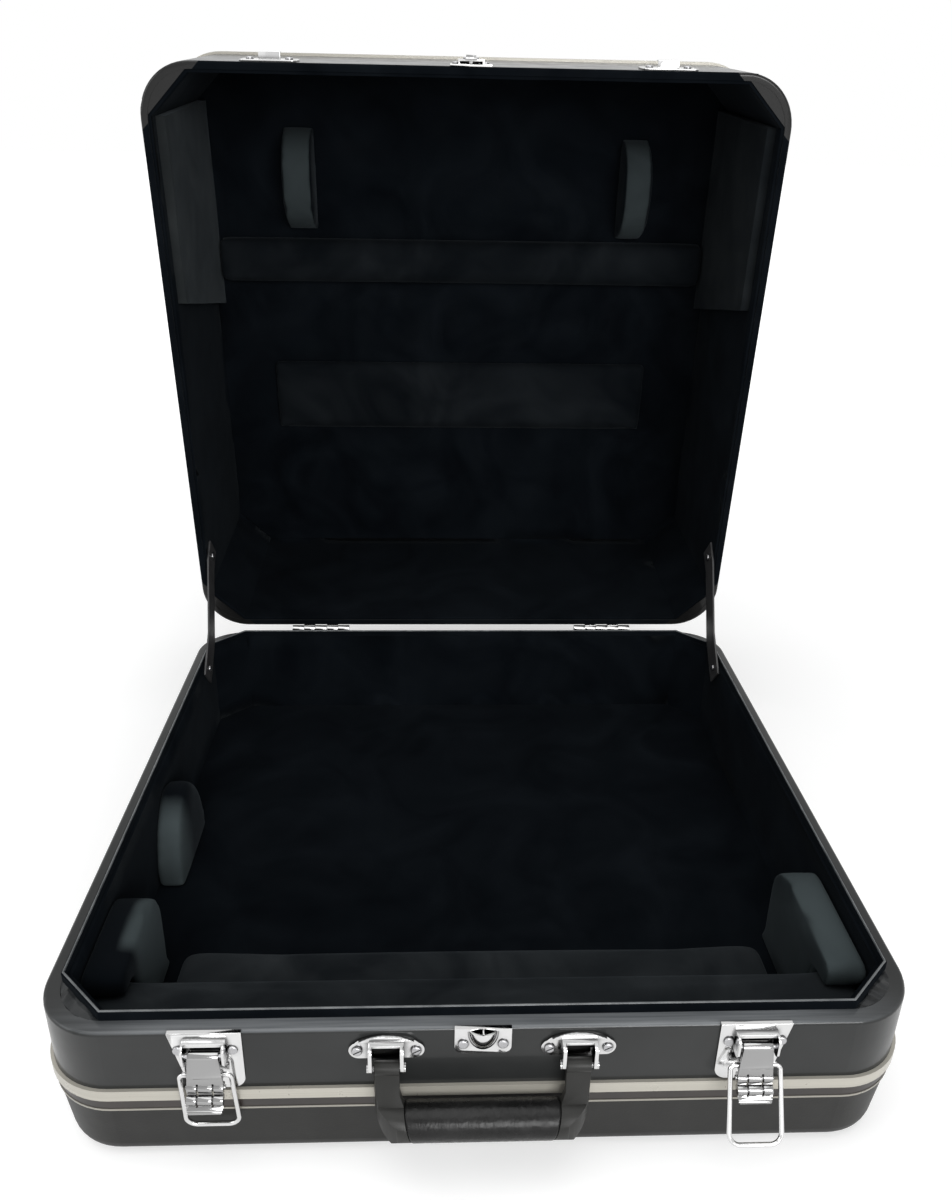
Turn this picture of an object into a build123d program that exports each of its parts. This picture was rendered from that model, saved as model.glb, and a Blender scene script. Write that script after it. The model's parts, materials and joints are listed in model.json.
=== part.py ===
from build123d import *
from math import atan2, cos, degrees, hypot, radians, sin, sqrt
import os

# Hard case for a piano accordion.  Lengths are in millimetres and angles in degrees.
# The base lies flat: +X is to the right of someone facing the latches, -Y points at them, +Z is up.
# The origin is the middle of the base's underside.  The lid and everything on it is drawn closed,
# then swung open about the hinge line, because the case rests open.

# ---- Case body ---------------------------------------------------------------------------------
case_width = 540.0
case_depth = 529.0
corner_radius = 44.0
base_height = 110.0           # floor to rim
lid_height = 200.0            # rim to the outside of the lid's top
lid_open_angle = 84.5
rim_gap = 1.5                 # between the two rims when the case is shut
base_wall = 10.0
lid_wall = 6.0
rim_round = 2.5

# ---- Moulded pans ------------------------------------------------------------------------------
base_pan_height = 47.0
lid_pan_height = 45.0
pan_wall = 3.5
pan_floor = 4.0
base_pan_draft = 5.0          # how far each side leans in over the pan's height
lid_pan_draft = 3.0
base_edge_round = 14.0
base_inner_round = 9.0
lid_edge_round = 14.0
lid_inner_round = 8.0

# ---- Trim round the joint between frame and pan --------------------------------------------------
bead_height = 1.4
bead_proud = 0.8
channel_height = 8.5
channel_proud = 0.4
stripe_height = 8.0
stripe_proud = 2.2

# ---- Inner band, gussets and lining --------------------------------------------------------------
corner_cut = 32.0             # leg of the 45-degree corner, on the base frame's inner face
band_thickness = 3.0
band_rise = 6.0               # above the base rim
gusset_depth = 12.0
base_lining_thickness = 2.5
base_lining_drop = 4.0        # lining's top edge, below the band's
lid_lining_thickness = 2.5
lid_lining_start = 1.0        # above the lid's rim
lining_bevel = 8.0
floor_pad_thickness = 24.0
top_pad_thickness = 8.0
top_pad_bevel = 7.0

# ---- Cushions in the base ------------------------------------------------------------------------
ledge_depth = 59.0
ledge_drop = 25.0             # ledge top, below the rim
bar_depth = 55.0
bar_side_gap = 12.0           # between the bar and each cheek
bar_drop = 55.0
cheek_thickness = 30.5
cheek_reach = {-1: 128.0, 1: 148.0}   # from the lining's front face to each cheek's back
cheek_setback = 30.5          # from the lining's front face to the cheek's front
cheek_drop = 5.0
cheek_round = 30.0
cheek_nose_round = 8.0
side_bumper_thickness = 24.0
side_bumper_length = 92.0
side_bumper_height = 70.0
side_bumper_setback = 251.0   # from the lining's front face to the bumper's middle

# ---- Cushions in the lid -------------------------------------------------------------------------
side_pad_front_gap = 33.5     # from the front lining's inner face
side_pad_length = 196.0          # along its deep edge
side_pad_slant = 42.0            # its edge at the rim is shorter by this
side_pad_thickness = 8.0
side_pad_rim_gap = 14.0
lid_bumper_side_gap = {-1: 105.0, 1: 97.0}    # from the case's side to each bumper's middle
lid_bumper_width = 32.0
lid_bumper_length = 98.0
lid_bumper_height = 45.0
lid_bumper_setback = {-1: 103.0, 1: 109.0}    # from the front lining's inner face to each middle
lid_ledge_setback = 159.0     # from the front lining's inner face to the ledge's near edge
lid_ledge_width = 46.0
lid_ledge_height = 22.0
cushion_side_gap = 46.5       # between the cushion and each side pad
cushion_setback = 142.2       # from the back lining's inner face to the cushion
cushion_width = 81.0
cushion_height = 12.0
pad_round = 4.0

# ---- Hinges --------------------------------------------------------------------------------------
hinge_side_gap = 120.0        # from the case's side to each hinge's middle
hinge_length = 60.0
knuckle_count = 5
knuckle_gap = 0.2
knuckle_radius = 3.8
hinge_pin_radius = 2.0
pin_clearance = 0.05
leaf_thickness = 1.5
leaf_height = 28.0
leaf_gap = 0.3
knuckle_wall_gap = 0.5

# ---- Latches (z is measured from the base rim, proud is measured out from the front face) ---------
latch_side_gap = 105.8        # from the case's side to each latch's middle
latch_plate_width = 43.5
latch_plate_gap = 1.5         # between the plate and the stripe below it
latch_plate_slant = 10.0
latch_plate_thickness = 1.5
latch_plate_corner = 8.0
ear_round = 3.5
rim_fold_depth = 1.2
rim_fold_thickness = 1.0
ear_inner_half = 11.2
ear_thickness = 1.5
ear_top = -3.0
ear_bottom = -18.0
ear_proud = 10.5
hood_height = 2.5
hood_proud = 6.0
lever_pin_z = -12.0
lever_pin_proud = 6.0
lever_pin_radius = 1.5
lever_swing = 110.0
lever_roll_radius = 3.6
lever_plate = 1.8
lever_half_width = 10.7
lever_neck_half = 8.8
lever_tip_half = 9.2
lever_knee_z = -33.5
lever_knee_proud = 9.6
lever_knee_radius = 3.2
lever_second_z = -39.7           # the roll below the knee
lever_second_proud = 13.2
lever_tip_z = -45.5
lever_tip_proud = 17.0
lever_tip_radius = 1.4
lever_groove_x = 4.6
lever_groove_width = 1.2
lever_groove_depth = 1.0
knee_rod_radius = 1.4
knee_rod_half = 11.8
bail_pivot_z = -25.0
bail_pivot_proud = 8.0
bail_boss_radius = 2.9
bail_wire_radius = 1.5
bail_reach = 48.2             # pivot to the middle of the loop's far bar
bail_top_half = 15.2
bail_bottom_half = 16.2
bail_stub_half = 4.0
bail_shoulder_bend = 3.0
bail_corner_bend = 7.0
bail_leans = {-1: -6.0, 1: 25.0}      # each loop's hang at rest, outwards from plumb
bail_inward_stop = -6.5
catch_width = 46.0
catch_height = 30.0
catch_start = 4.0
catch_thickness = 1.5
catch_round = 4.0
hook_width = 18.0
hook_wall = 1.2
hook_bar_proud = 3.2          # where the shut loop's bar lies
hook_clearance = 0.3
hook_lip_rise = 6.0

# ---- Centre lock ---------------------------------------------------------------------------------
lock_width = 34.0
lock_plate_thickness = 1.5
keeper_height = 18.6
keeper_corner = 5.0
cup_half_width = 8.4
cup_drop = 14.0                  # from the cup's lip to its lowest point
cup_lip = -1.0
cup_wall = 1.2
cup_groove = 1.2                 # width of the sunk line round the cup
cup_groove_depth = 0.6
keeper_pin_radius = 0.6
keeper_pin_z = -0.2
keeper_pin_reach = 4.5
lock_plate_height = 20.0
spindle_rise = 3.5            # above the lid's rim
spindle_radius = 2.5
housing_radius = 10.6
housing_wall = 1.4
housing_proud = 5.2
hook_arc_inner = 6.0
hook_arc_outer = 7.4
hook_arc_half_angle = 35.0
hook_arm_half = 1.4
hook_arm_angle = 28.0
hook_proud_start = 1.7
hook_proud_end = 2.7
lock_turn = 120.0
knob_radius = 6.5
knob_thickness = 1.6
knob_grip_width = 3.0
knob_grip_height = 1.4
knob_grip_inset = 1.0
knob_grip_sink = 1.0
knob_clearance = 0.2
cup_proud = housing_proud - knob_clearance

# ---- Handle --------------------------------------------------------------------------------------
handle_x = 57.5               # middle of each bracket
bracket_width = 45.2
bracket_height = 12.6
bracket_z = -15.0
bracket_thickness = 1.6
brow_half = 20.0                 # arched top of the bracket
brow_rise = 8.8
brow_z = -12.0
brow_edge_z = -7.0               # above this the arch is thicker
brow_thickness = 3.2
hood_reach = 6.5
prong_gap_half = 8.3
prong_thickness = 2.2
prong_proud = 11.5
prong_tip = 5.0                  # from the pin's middle to the prong's end
prong_round = 2.5
prong_top = -6.5
handle_pin_z = -22.0
handle_pin_proud = 8.0
handle_pin_radius = 2.0
handle_pin_head = 2.8
handle_pin_head_length = 1.0
strap_half = 7.8                 # half of its width at the loop
strap_straight = 16.5            # narrow part below the pin, which passes between the prongs
strap_elbow_half = 10.2          # towards the grip, where the elbow starts
strap_foot_half = 16.0           # the same at the elbow's lowest point
strap_thickness = 5.0
strap_loop_wall = 2.4
strap_turn_radius = 23.0
strap_bulb_radius = 11.8
strap_brow_radius = 22.0         # the elbow's outer corner, seen from above
grip_radius = 12.1
grip_drop = 37.0              # grip's middle, below the pins
grip_wall_gap = 0.6           # between the hanging grip and the stripe
grip_core_radius = 4.0
grip_core_clearance = 0.05
grip_end_round = 1.5
handle_swing = 110.0

# ---- Fasteners, feet and stays -------------------------------------------------------------------
rivet_radius = 3.2
rivet_height = 1.6
rivet_x = 16.0
rivet_z = -12.0
lock_rivet_x = 11.9
lock_rivet_z = 10.8
lock_rivet_radius = 3.2
screw_x = 17.6
screw_slot = 0.9
screw_turn = 30.0                # angle of each slot
hinge_rivet_spacing = 20.0
glide_side_gap = 55.0         # from the case's side to each foot's middle
glide_radius = 9.0
glide_proud = 10.0
glide_drop = 24.0             # below the base rim
lid_glide_gap = 7.5           # between each foot and the lid's stripe
stay_width = 28.0
stay_thickness = 1.6
stay_low_flat = 44.0          # length that lies flat against the base's lining
stay_high_flat = 22.0         # length that lies flat against the lid's lining
stay_wall_gap = 0.3
stay_base_setback = 86.0      # lower end, in front of the hinge line
stay_base_drop = 12.0         # below the base rim
stay_lid_along = 85.0         # upper end, along the lid from the hinge line
stay_lid_inset = 25.0         # upper end, in from the lid's rim
stay_rivet_radius = 4.0
stay_rivet_end = 11.0         # from the strap's end

# ---- Derived places ------------------------------------------------------------------------------
cut_shrink = 2 - sqrt(2)      # a 45-degree cut's leg shrinks by this for each mm that it lies further in
half_depth = case_depth / 2
front_y = -half_depth
base_frame_bottom = base_pan_height
lid_rim = base_height + rim_gap
lid_top = lid_rim + lid_height
lid_frame_top = lid_top - lid_pan_height
floor_top = pan_floor + floor_pad_thickness
band_inset = base_wall + band_thickness
lining_inset = band_inset + base_lining_thickness
lid_lining_inset = lid_wall + lid_lining_thickness
band_top = base_height + band_rise
lid_pad_face = lid_top - pan_floor - top_pad_thickness
lining_half_x = case_width / 2 - lining_inset
lid_lining_half_x = case_width / 2 - lid_lining_inset
lining_front = front_y + lining_inset
hinge_y = half_depth + knuckle_radius + knuckle_wall_gap
hinge_z = base_height + rim_gap / 2
base_stripe_top = base_pan_height + bead_height + channel_height + stripe_height
latch_x = case_width / 2 - latch_side_gap
latch_plate_height = base_height - base_stripe_top - latch_plate_gap
hinge_x = case_width / 2 - hinge_side_gap
glide_x = case_width / 2 - glide_side_gap
bar_length = 2 * (lining_half_x - cheek_thickness - bar_side_gap)
cushion_length = 2 * (lid_lining_half_x - side_pad_thickness - cushion_side_gap)
lid_lining_front = front_y + lid_lining_inset
lid_lining_back = half_depth - lid_lining_inset
lid_stripe_low = lid_frame_top - bead_height - channel_height - stripe_height
grip_proud = grip_radius + stripe_proud + grip_wall_gap


# ---- Shared shapes -------------------------------------------------------------------------------
def plan(inset):
    """Rounded outline of the case in plan, drawn in from its outer face."""
    return RectangleRounded(case_width - 2 * inset, case_depth - 2 * inset, corner_radius - inset)


def cut_corner_plan(inset):
    """Outline with 45-degree corners, parallel to the band's at any inset."""
    outline = Rectangle(case_width - 2 * inset, case_depth - 2 * inset)
    return chamfer(outline.vertices(), corner_cut - cut_shrink * (inset - base_wall))


def board_plan(wall, thickness):
    """Board with cut corners that stands against the inside of a wall."""
    return (plan(wall) & cut_corner_plan(wall)) - cut_corner_plan(wall + thickness)


def slab(outline, thickness):
    """Raise a flat outline along local z."""
    return extrude(outline, thickness, dir=(0, 0, 1))


def prism(outline, low, high):
    return Pos(0, 0, low) * slab(outline, high - low)


def on_front(x, z):
    """Place on the front face: local x runs along the case, y up, z out of the face."""
    return Plane(origin=(x, front_y, z), x_dir=(1, 0, 0), z_dir=(0, -1, 0))


def on_back(x, z):
    """Place on the back face: local y up, z out of the face."""
    return Plane(origin=(x, half_depth, z), x_dir=(-1, 0, 0), z_dir=(0, 1, 0))


def side_view(x, z):
    """Plane across the front face: local x is the distance proud of it, y is up."""
    return Plane(origin=(x, front_y, z), x_dir=(0, -1, 0), z_dir=(-1, 0, 0))


def profile_yz(x):
    """Plane across the case: local x is +Y, local y is +Z, extruded towards +X."""
    return Plane(origin=(x, 0, 0), x_dir=(0, 1, 0), z_dir=(1, 0, 0))


def rod_x(radius, low, high):
    """Rod along X between two places."""
    return Pos((low + high) / 2, 0, 0) * Rot(0, 90, 0) * Cylinder(radius, high - low)


def strip(start, end, width):
    """Flat strip from one point to another, drawn on a plane."""
    run, rise = end[0] - start[0], end[1] - start[1]
    length = hypot(run, rise)
    return Pos(*start) * Rot(0, 0, degrees(atan2(rise, run))) * Pos(length / 2, 0) * Rectangle(length, width)


def block(low, high):
    """Box between two opposite corners."""
    size = [abs(b - a) for a, b in zip(low, high)]
    middle = [(a + b) / 2 for a, b in zip(low, high)]
    return Pos(*middle) * Box(*size)


def dome_head(radius, height):
    """Low round head standing on the local XY plane."""
    head = Pos(0, 0, height / 2) * Cylinder(radius, height)
    return fillet(head.edges().group_by(Axis.Z)[-1], 0.6 * height)


def opened(shape):
    """Swing a shape that was drawn on the closed lid to where it rests."""
    about_hinge = Pos(0, hinge_y, hinge_z) * Rot(-lid_open_angle, 0, 0) * Pos(0, -hinge_y, -hinge_z)
    return about_hinge * shape


# ---- Shells --------------------------------------------------------------------------------------
def frame_ring(thickness, low, high, rim_is_high):
    block_solid = prism(plan(0), low, high)
    rim = block_solid.edges().group_by(Axis.Z)[-1 if rim_is_high else 0]
    return fillet(rim, rim_round) - prism(plan(thickness), low, high)


def pan(height, draft, edge_round, inner_round):
    """Moulded tray standing on its flat face, open at the top."""
    outer = loft([Pos(0, 0, height) * plan(0), plan(draft)])
    outer = fillet(outer.edges().group_by(Axis.Z)[0], edge_round)
    hollow = loft([Pos(0, 0, height) * plan(pan_wall), Pos(0, 0, pan_floor) * plan(pan_wall + draft)])
    return outer - fillet(hollow.edges().group_by(Axis.Z)[0], inner_round)


def trim_ring(proud, low, high):
    return prism(plan(-proud) - plan(0), low, high)


def gussets(inset, low, high):
    return prism(plan(inset) - cut_corner_plan(inset), low, high)


def base_shell():
    bead_low = base_frame_bottom
    channel_low = bead_low + bead_height
    stripe_low = channel_low + channel_height
    return {
        "base_frame": frame_ring(base_wall, base_frame_bottom, base_height, True),
        "base_pan": pan(base_pan_height, base_pan_draft, base_edge_round, base_inner_round),
        "base_bead": trim_ring(bead_proud, bead_low, channel_low),
        "base_channel": trim_ring(channel_proud, channel_low, stripe_low),
        "base_stripe": trim_ring(stripe_proud, stripe_low, stripe_low + stripe_height),
        "base_band": prism(board_plan(base_wall, band_thickness), floor_top, band_top),
        "base_corner_gussets": gussets(base_wall, base_height - gusset_depth, base_height),
    }


def lid_shell():
    bead_high = lid_frame_top
    channel_high = bead_high - bead_height
    stripe_high = channel_high - channel_height
    tray = pan(lid_pan_height, lid_pan_draft, lid_edge_round, lid_inner_round)
    upturned = Pos(0, 0, lid_top) * Rot(180, 0, 0) * tray
    closed = {
        "lid_frame": frame_ring(lid_wall, lid_rim, lid_frame_top, False),
        "lid_pan": upturned,
        "lid_bead": trim_ring(bead_proud, channel_high, bead_high),
        "lid_channel": trim_ring(channel_proud, stripe_high, channel_high),
        "lid_stripe": trim_ring(stripe_proud, stripe_high - stripe_height, stripe_high),
        "lid_corner_gussets": gussets(lid_wall, lid_rim, lid_rim + gusset_depth),
    }
    return {name: opened(shape) for name, shape in closed.items()}


# ---- Lining and cushions -------------------------------------------------------------------------
def base_lining():
    pad = prism(cut_corner_plan(base_wall), pan_floor, floor_top)
    lining = prism(cut_corner_plan(band_inset) - cut_corner_plan(lining_inset),
                   floor_top, band_top - base_lining_drop)
    return {
        "base_floor_pad": chamfer(pad.edges().group_by(Axis.Z)[0], lining_bevel),
        "base_wall_lining": lining,
    }


def front_ledge():
    top = base_height - ledge_drop
    outline = cut_corner_plan(lining_inset) & (
        Pos(0, lining_front + ledge_depth / 2) * Rectangle(case_width, ledge_depth))
    ledge = prism(outline, floor_top, top)
    back_top = ledge.edges().filter_by(Axis.X).group_by(Axis.Z)[-1].sort_by(Axis.Y)[-1]
    return fillet(back_top, pad_round)


def front_bar():
    low_y = lining_front + ledge_depth
    bar = block((-bar_length / 2, low_y, floor_top),
                (bar_length / 2, low_y + bar_depth, base_height - bar_drop))
    bar = fillet(bar.edges().filter_by(Axis.Z).group_by(Axis.Y)[-1], 2 * pad_round)
    return fillet(bar.edges().group_by(Axis.Z)[-1].sort_by(Axis.Y)[-1], pad_round)


def front_cheek(side):
    """Block against the side lining, stepped over the front ledge and round at its back."""
    ledge_back = lining_front + ledge_depth
    top = base_height - cheek_drop
    front = lining_front + cheek_setback
    back = lining_front + cheek_reach[side]
    ledge_top = base_height - ledge_drop
    outline = Polygon((ledge_back, floor_top), (back, floor_top), (back, top), (front, top),
                      (front, ledge_top), (ledge_back, ledge_top), align=None)
    outline = fillet(outline.vertices().sort_by_distance((back, top))[0], cheek_round)
    outline = fillet(outline.vertices().sort_by_distance((front, top))[0], cheek_nose_round)
    inner_x = lining_half_x - cheek_thickness
    start = inner_x if side > 0 else -lining_half_x
    return profile_yz(start) * slab(outline, cheek_thickness)


def half_round(length, height):
    """Half of an ellipse, flat side down on the local x axis."""
    return Ellipse(length / 2, height) & (Pos(0, height / 2) * Rectangle(length, height))


def side_bumper():
    outline = Pos(lining_front + side_bumper_setback, floor_top) \
        * half_round(side_bumper_length, side_bumper_height)
    return profile_yz(-lining_half_x) * slab(outline, side_bumper_thickness)


def base_cushions():
    return {
        "front_ledge": front_ledge(),
        "front_bar": front_bar(),
        "front_cheek_left": front_cheek(-1),
        "front_cheek_right": front_cheek(1),
        "side_bumper_left": side_bumper(),
    }


def lid_lining():
    pad = prism(cut_corner_plan(lid_lining_inset), lid_pad_face, lid_pad_face + top_pad_thickness)
    closed = {
        "lid_top_lining": chamfer(pad.edges().group_by(Axis.Z)[-1], top_pad_bevel),
        "lid_wall_lining": prism(board_plan(lid_wall, lid_lining_thickness),
                                 lid_rim + lid_lining_start, lid_pad_face),
    }
    return {name: opened(shape) for name, shape in closed.items()}


def lid_side_pad(side):
    inner_x = lid_lining_half_x - side_pad_thickness
    middle_x = side * (lid_lining_half_x + inner_x) / 2
    front = lid_lining_front + side_pad_front_gap
    back = front + side_pad_length
    low = lid_rim + side_pad_rim_gap
    outline = Polygon((front, low), (back - side_pad_slant, low), (back, lid_pad_face),
                      (front, lid_pad_face), align=None)
    return opened(profile_yz(middle_x) * extrude(outline, side_pad_thickness / 2, both=True))


def lid_bumper(side):
    outline = Pos(lid_lining_front + lid_bumper_setback[side], lid_pad_face) * Rot(0, 0, 180) \
        * half_round(lid_bumper_length, lid_bumper_height)
    start = side * (case_width / 2 - lid_bumper_side_gap[side]) - lid_bumper_width / 2
    return opened(profile_yz(start) * slab(outline, lid_bumper_width))


def lid_ledge():
    half = lid_lining_half_x - side_pad_thickness
    front = lid_lining_front + lid_ledge_setback
    bar = block((-half, front, lid_pad_face - lid_ledge_height),
                (half, front + lid_ledge_width, lid_pad_face))
    low_edges = bar.edges().filter_by(Axis.X).group_by(Axis.Z)[0]
    return opened(fillet(low_edges, 2 * pad_round))


def lid_cushion():
    back = lid_lining_back - cushion_setback
    pad = block((-cushion_length / 2, back - cushion_width, lid_pad_face - cushion_height),
                (cushion_length / 2, back, lid_pad_face))
    return opened(fillet(pad.edges().group_by(Axis.Z)[0], pad_round))


def lid_cushions():
    return {
        "lid_side_pad_left": lid_side_pad(-1),
        "lid_side_pad_right": lid_side_pad(1),
        "lid_bumper_left": lid_bumper(-1),
        "lid_bumper_right": lid_bumper(1),
        "lid_ledge": lid_ledge(),
        "lid_cushion": lid_cushion(),
    }


# ---- Latches -------------------------------------------------------------------------------------
def latch_plate(side):
    half = latch_plate_width / 2
    outline = Polygon((-side * half, 0), (side * half, 0),
                      (side * (half - latch_plate_slant), -latch_plate_height),
                      (-side * half, -latch_plate_height), align=None)
    outline = fillet(outline.vertices().sort_by_distance((-side * half, -latch_plate_height))[0],
                     latch_plate_corner)
    plate = slab(outline, latch_plate_thickness)
    plate = plate + rim_fold(latch_plate_width, latch_plate_thickness)
    ear = Pos(0, (ear_top + ear_bottom) / 2, ear_proud / 2) \
        * Box(ear_thickness, ear_top - ear_bottom, ear_proud)
    ear = fillet(ear.edges().filter_by(Axis.X).group_by(Axis.Z)[-1], ear_round)
    ear_x = ear_inner_half + ear_thickness / 2
    ears = [Pos(s * ear_x, 0, 0) * ear for s in (-1, 1)]
    hood = block((-ear_inner_half, ear_top - hood_height, 0), (ear_inner_half, ear_top, hood_proud))
    body = plate + ears + hood
    hole = rod_x(lever_pin_radius + pin_clearance, -latch_plate_width, latch_plate_width)
    return on_front(side * latch_x, base_height) * (body - Pos(0, lever_pin_z, lever_pin_proud) * hole)


def rim_fold(width, thickness):
    """Flange that laps over the rim, in a front fitting's own coordinates."""
    return block((-width / 2, 0, -rim_fold_depth), (width / 2, rim_fold_thickness, thickness))


def latch_pin(side):
    half = ear_inner_half + ear_thickness
    return on_front(side * latch_x, base_height) * Pos(0, lever_pin_z, lever_pin_proud) \
        * rod_x(lever_pin_radius, -half, half)


def lever_side_profile():
    """Lever seen from its side: pin roll, flap, boss for the loop, two rolls and a finger tab."""
    outer = lever_pin_proud + lever_roll_radius
    knee_out = lever_knee_proud + lever_plate
    flap = Polygon((outer - lever_plate, lever_pin_z), (outer, lever_pin_z),
                   (knee_out, lever_knee_z), (knee_out - lever_plate, lever_knee_z), align=None)
    knee_place = (lever_knee_proud, lever_knee_z)
    second_place = (lever_second_proud, lever_second_z)
    tip_place = (lever_tip_proud, lever_tip_z)
    tab = strip(knee_place, second_place, lever_plate) + strip(second_place, tip_place, lever_plate)
    roll = Pos(lever_pin_proud, lever_pin_z) * Circle(lever_roll_radius)
    boss = Pos(bail_pivot_proud, bail_pivot_z) * Circle(bail_boss_radius)
    knee = Pos(*knee_place) * Circle(lever_knee_radius)
    second = Pos(*second_place) * Circle(lever_knee_radius)
    tip = Pos(*tip_place) * Circle(lever_tip_radius)
    return flap + tab + roll + boss + knee + second + tip


def lever_front_outline():
    """Lever seen from the front: a flap that widens to the knee."""
    top = lever_pin_z + lever_roll_radius
    bottom = lever_tip_z - lever_tip_radius
    points = [(lever_neck_half, top), (lever_half_width, lever_knee_z + lever_knee_radius),
              (lever_half_width, lever_second_z - lever_knee_radius), (lever_tip_half, bottom)]
    return Polygon(*points, *[(-x, z) for x, z in reversed(points)], align=None)


def lever_groove(x):
    """Ring cut round one of the lever's rolls."""
    low, high = x - lever_groove_width / 2, x + lever_groove_width / 2
    return rod_x(lever_knee_radius + lever_groove_depth, low, high) \
        - rod_x(lever_knee_radius - lever_groove_depth, low, high)


def latch_lever(side):
    x = side * latch_x
    body = side_view(x, base_height) * extrude(lever_side_profile(), lever_half_width, both=True)
    front = on_front(x, base_height) * slab(lever_front_outline(), lever_tip_proud + lever_plate)
    grooves = [Pos(0, z, proud) * lever_groove(s * lever_groove_x) for s in (-1, 1)
               for z, proud in ((lever_knee_z, lever_knee_proud), (lever_second_z, lever_second_proud))]
    pin_hole = Pos(0, lever_pin_z, lever_pin_proud) \
        * rod_x(lever_pin_radius + pin_clearance, -lever_half_width, lever_half_width)
    bail_hole = Pos(0, bail_pivot_z, bail_pivot_proud) \
        * rod_x(bail_wire_radius + pin_clearance, -lever_half_width, lever_half_width)
    knee_rod = Pos(0, lever_knee_z, lever_knee_proud) * rod_x(knee_rod_radius, -knee_rod_half, knee_rod_half)
    placed = on_front(x, base_height)
    body = body & front
    for cut in grooves + [pin_hole, bail_hole]:
        body = body - placed * cut
    return body + placed * knee_rod


def latch_bail(side):
    """Wire loop whose two ends turn in the lever's boss, hanging at its resting lean."""
    half = [(-bail_stub_half, 0), (-bail_top_half, 0), (-bail_bottom_half, -bail_reach)]
    points = half + [(-x, z) for x, z in reversed(half)]
    bends = [bail_shoulder_bend, bail_corner_bend, bail_corner_bend, bail_shoulder_bend]
    path = FilletPolyline(*points, radius=bends)
    loop = sweep(Plane(path @ 0, z_dir=path % 0) * Circle(bail_wire_radius), path)
    hang = Rot(-bail_leans[side], 0, 0) * loop
    return on_front(side * latch_x, base_height) * Pos(0, bail_pivot_z, bail_pivot_proud) * hang


def shut_bar_z():
    """Height of the loop's bar above the base rim when it is hooked over the lid's catch."""
    return bail_pivot_z + sqrt(bail_reach ** 2 - (bail_pivot_proud - hook_bar_proud) ** 2)


def latch_catch(side):
    floor_z = shut_bar_z() - bail_wire_radius - hook_clearance - rim_gap
    channel = hook_bar_proud + bail_wire_radius + 2 * hook_wall
    plate = Pos(0, catch_start + catch_height / 2, 0) \
        * slab(RectangleRounded(catch_width, catch_height, catch_round), catch_thickness)
    half = hook_width / 2
    shelf = block((-half, floor_z - hook_wall, 0), (half, floor_z, channel))
    lip = block((-half, floor_z - hook_wall, channel - hook_wall), (half, floor_z + hook_lip_rise, channel))
    return opened(on_front(side * latch_x, lid_rim) * (plate + shelf + lip))


def latches():
    pins = latch_pin(-1) + latch_pin(1)
    return {
        "latch_plate_left": latch_plate(-1),
        "latch_plate_right": latch_plate(1),
        "latch_pins": pins,
        "latch_lever_left": latch_lever(-1),
        "latch_lever_right": latch_lever(1),
        "latch_bail_left": latch_bail(-1),
        "latch_bail_right": latch_bail(1),
        "latch_catch_left": latch_catch(-1),
        "latch_catch_right": latch_catch(1),
    }


# ---- Centre lock ---------------------------------------------------------------------------------
def lock_keeper():
    """Plate with a bowl-shaped cup, open upwards, and the pin that the hook turns under."""
    outline = Pos(0, -keeper_height / 2) * Rectangle(lock_width, keeper_height)
    outline = fillet(outline.vertices().group_by(Axis.Y)[0], keeper_corner)
    plate = slab(outline, lock_plate_thickness)
    groove = cup_bowl(-cup_groove, lock_plate_thickness - cup_groove_depth)
    cup = cup_bowl(0, 0)
    hollow = cup_bowl(cup_wall, lock_plate_thickness)
    fold = rim_fold(lock_width, lock_plate_thickness)
    pin = Pos(0, keeper_pin_z, keeper_pin_reach / 2) * Cylinder(keeper_pin_radius, keeper_pin_reach)
    return on_front(0, base_height) * (plate - groove + cup - hollow + fold + pin)


def cup_bowl(inset, start):
    """The lower half of an egg shape, from a distance in front of the face."""
    size = (cup_half_width - inset, cup_drop - inset, cup_proud - inset)
    egg = Pos(0, cup_lip, 0) * scale(Sphere(1), by=size)
    reach = 2 * cup_drop
    return egg & block((-reach, -reach, start), (reach, cup_lip, reach))


def lock_housing():
    outline = Pos(0, lock_plate_height / 2) * Rectangle(lock_width, lock_plate_height)
    outline = fillet(outline.vertices().group_by(Axis.Y)[-1], keeper_corner)
    plate = slab(outline, lock_plate_thickness)
    shell = slab(arch(housing_radius), housing_proud)
    hollow = Pos(0, 0, lock_plate_thickness) \
        * slab(arch(housing_radius - housing_wall), housing_proud - lock_plate_thickness - housing_wall)
    bore = Pos(0, spindle_rise, 0) * slab(Circle(spindle_radius + pin_clearance), housing_proud)
    bore = Pos(0, 0, lock_plate_thickness) * bore
    return opened(on_front(0, lid_rim) * (plate + shell - hollow - bore))


def arch(radius):
    """Arch standing on the lid's rim line, round about the spindle."""
    above = Pos(0, spindle_rise + radius / 2) * Rectangle(2 * radius, radius)
    legs = Pos(0, spindle_rise / 2) * Rectangle(2 * radius, spindle_rise)
    return (Pos(0, spindle_rise) * Circle(radius) & above) + legs


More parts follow.
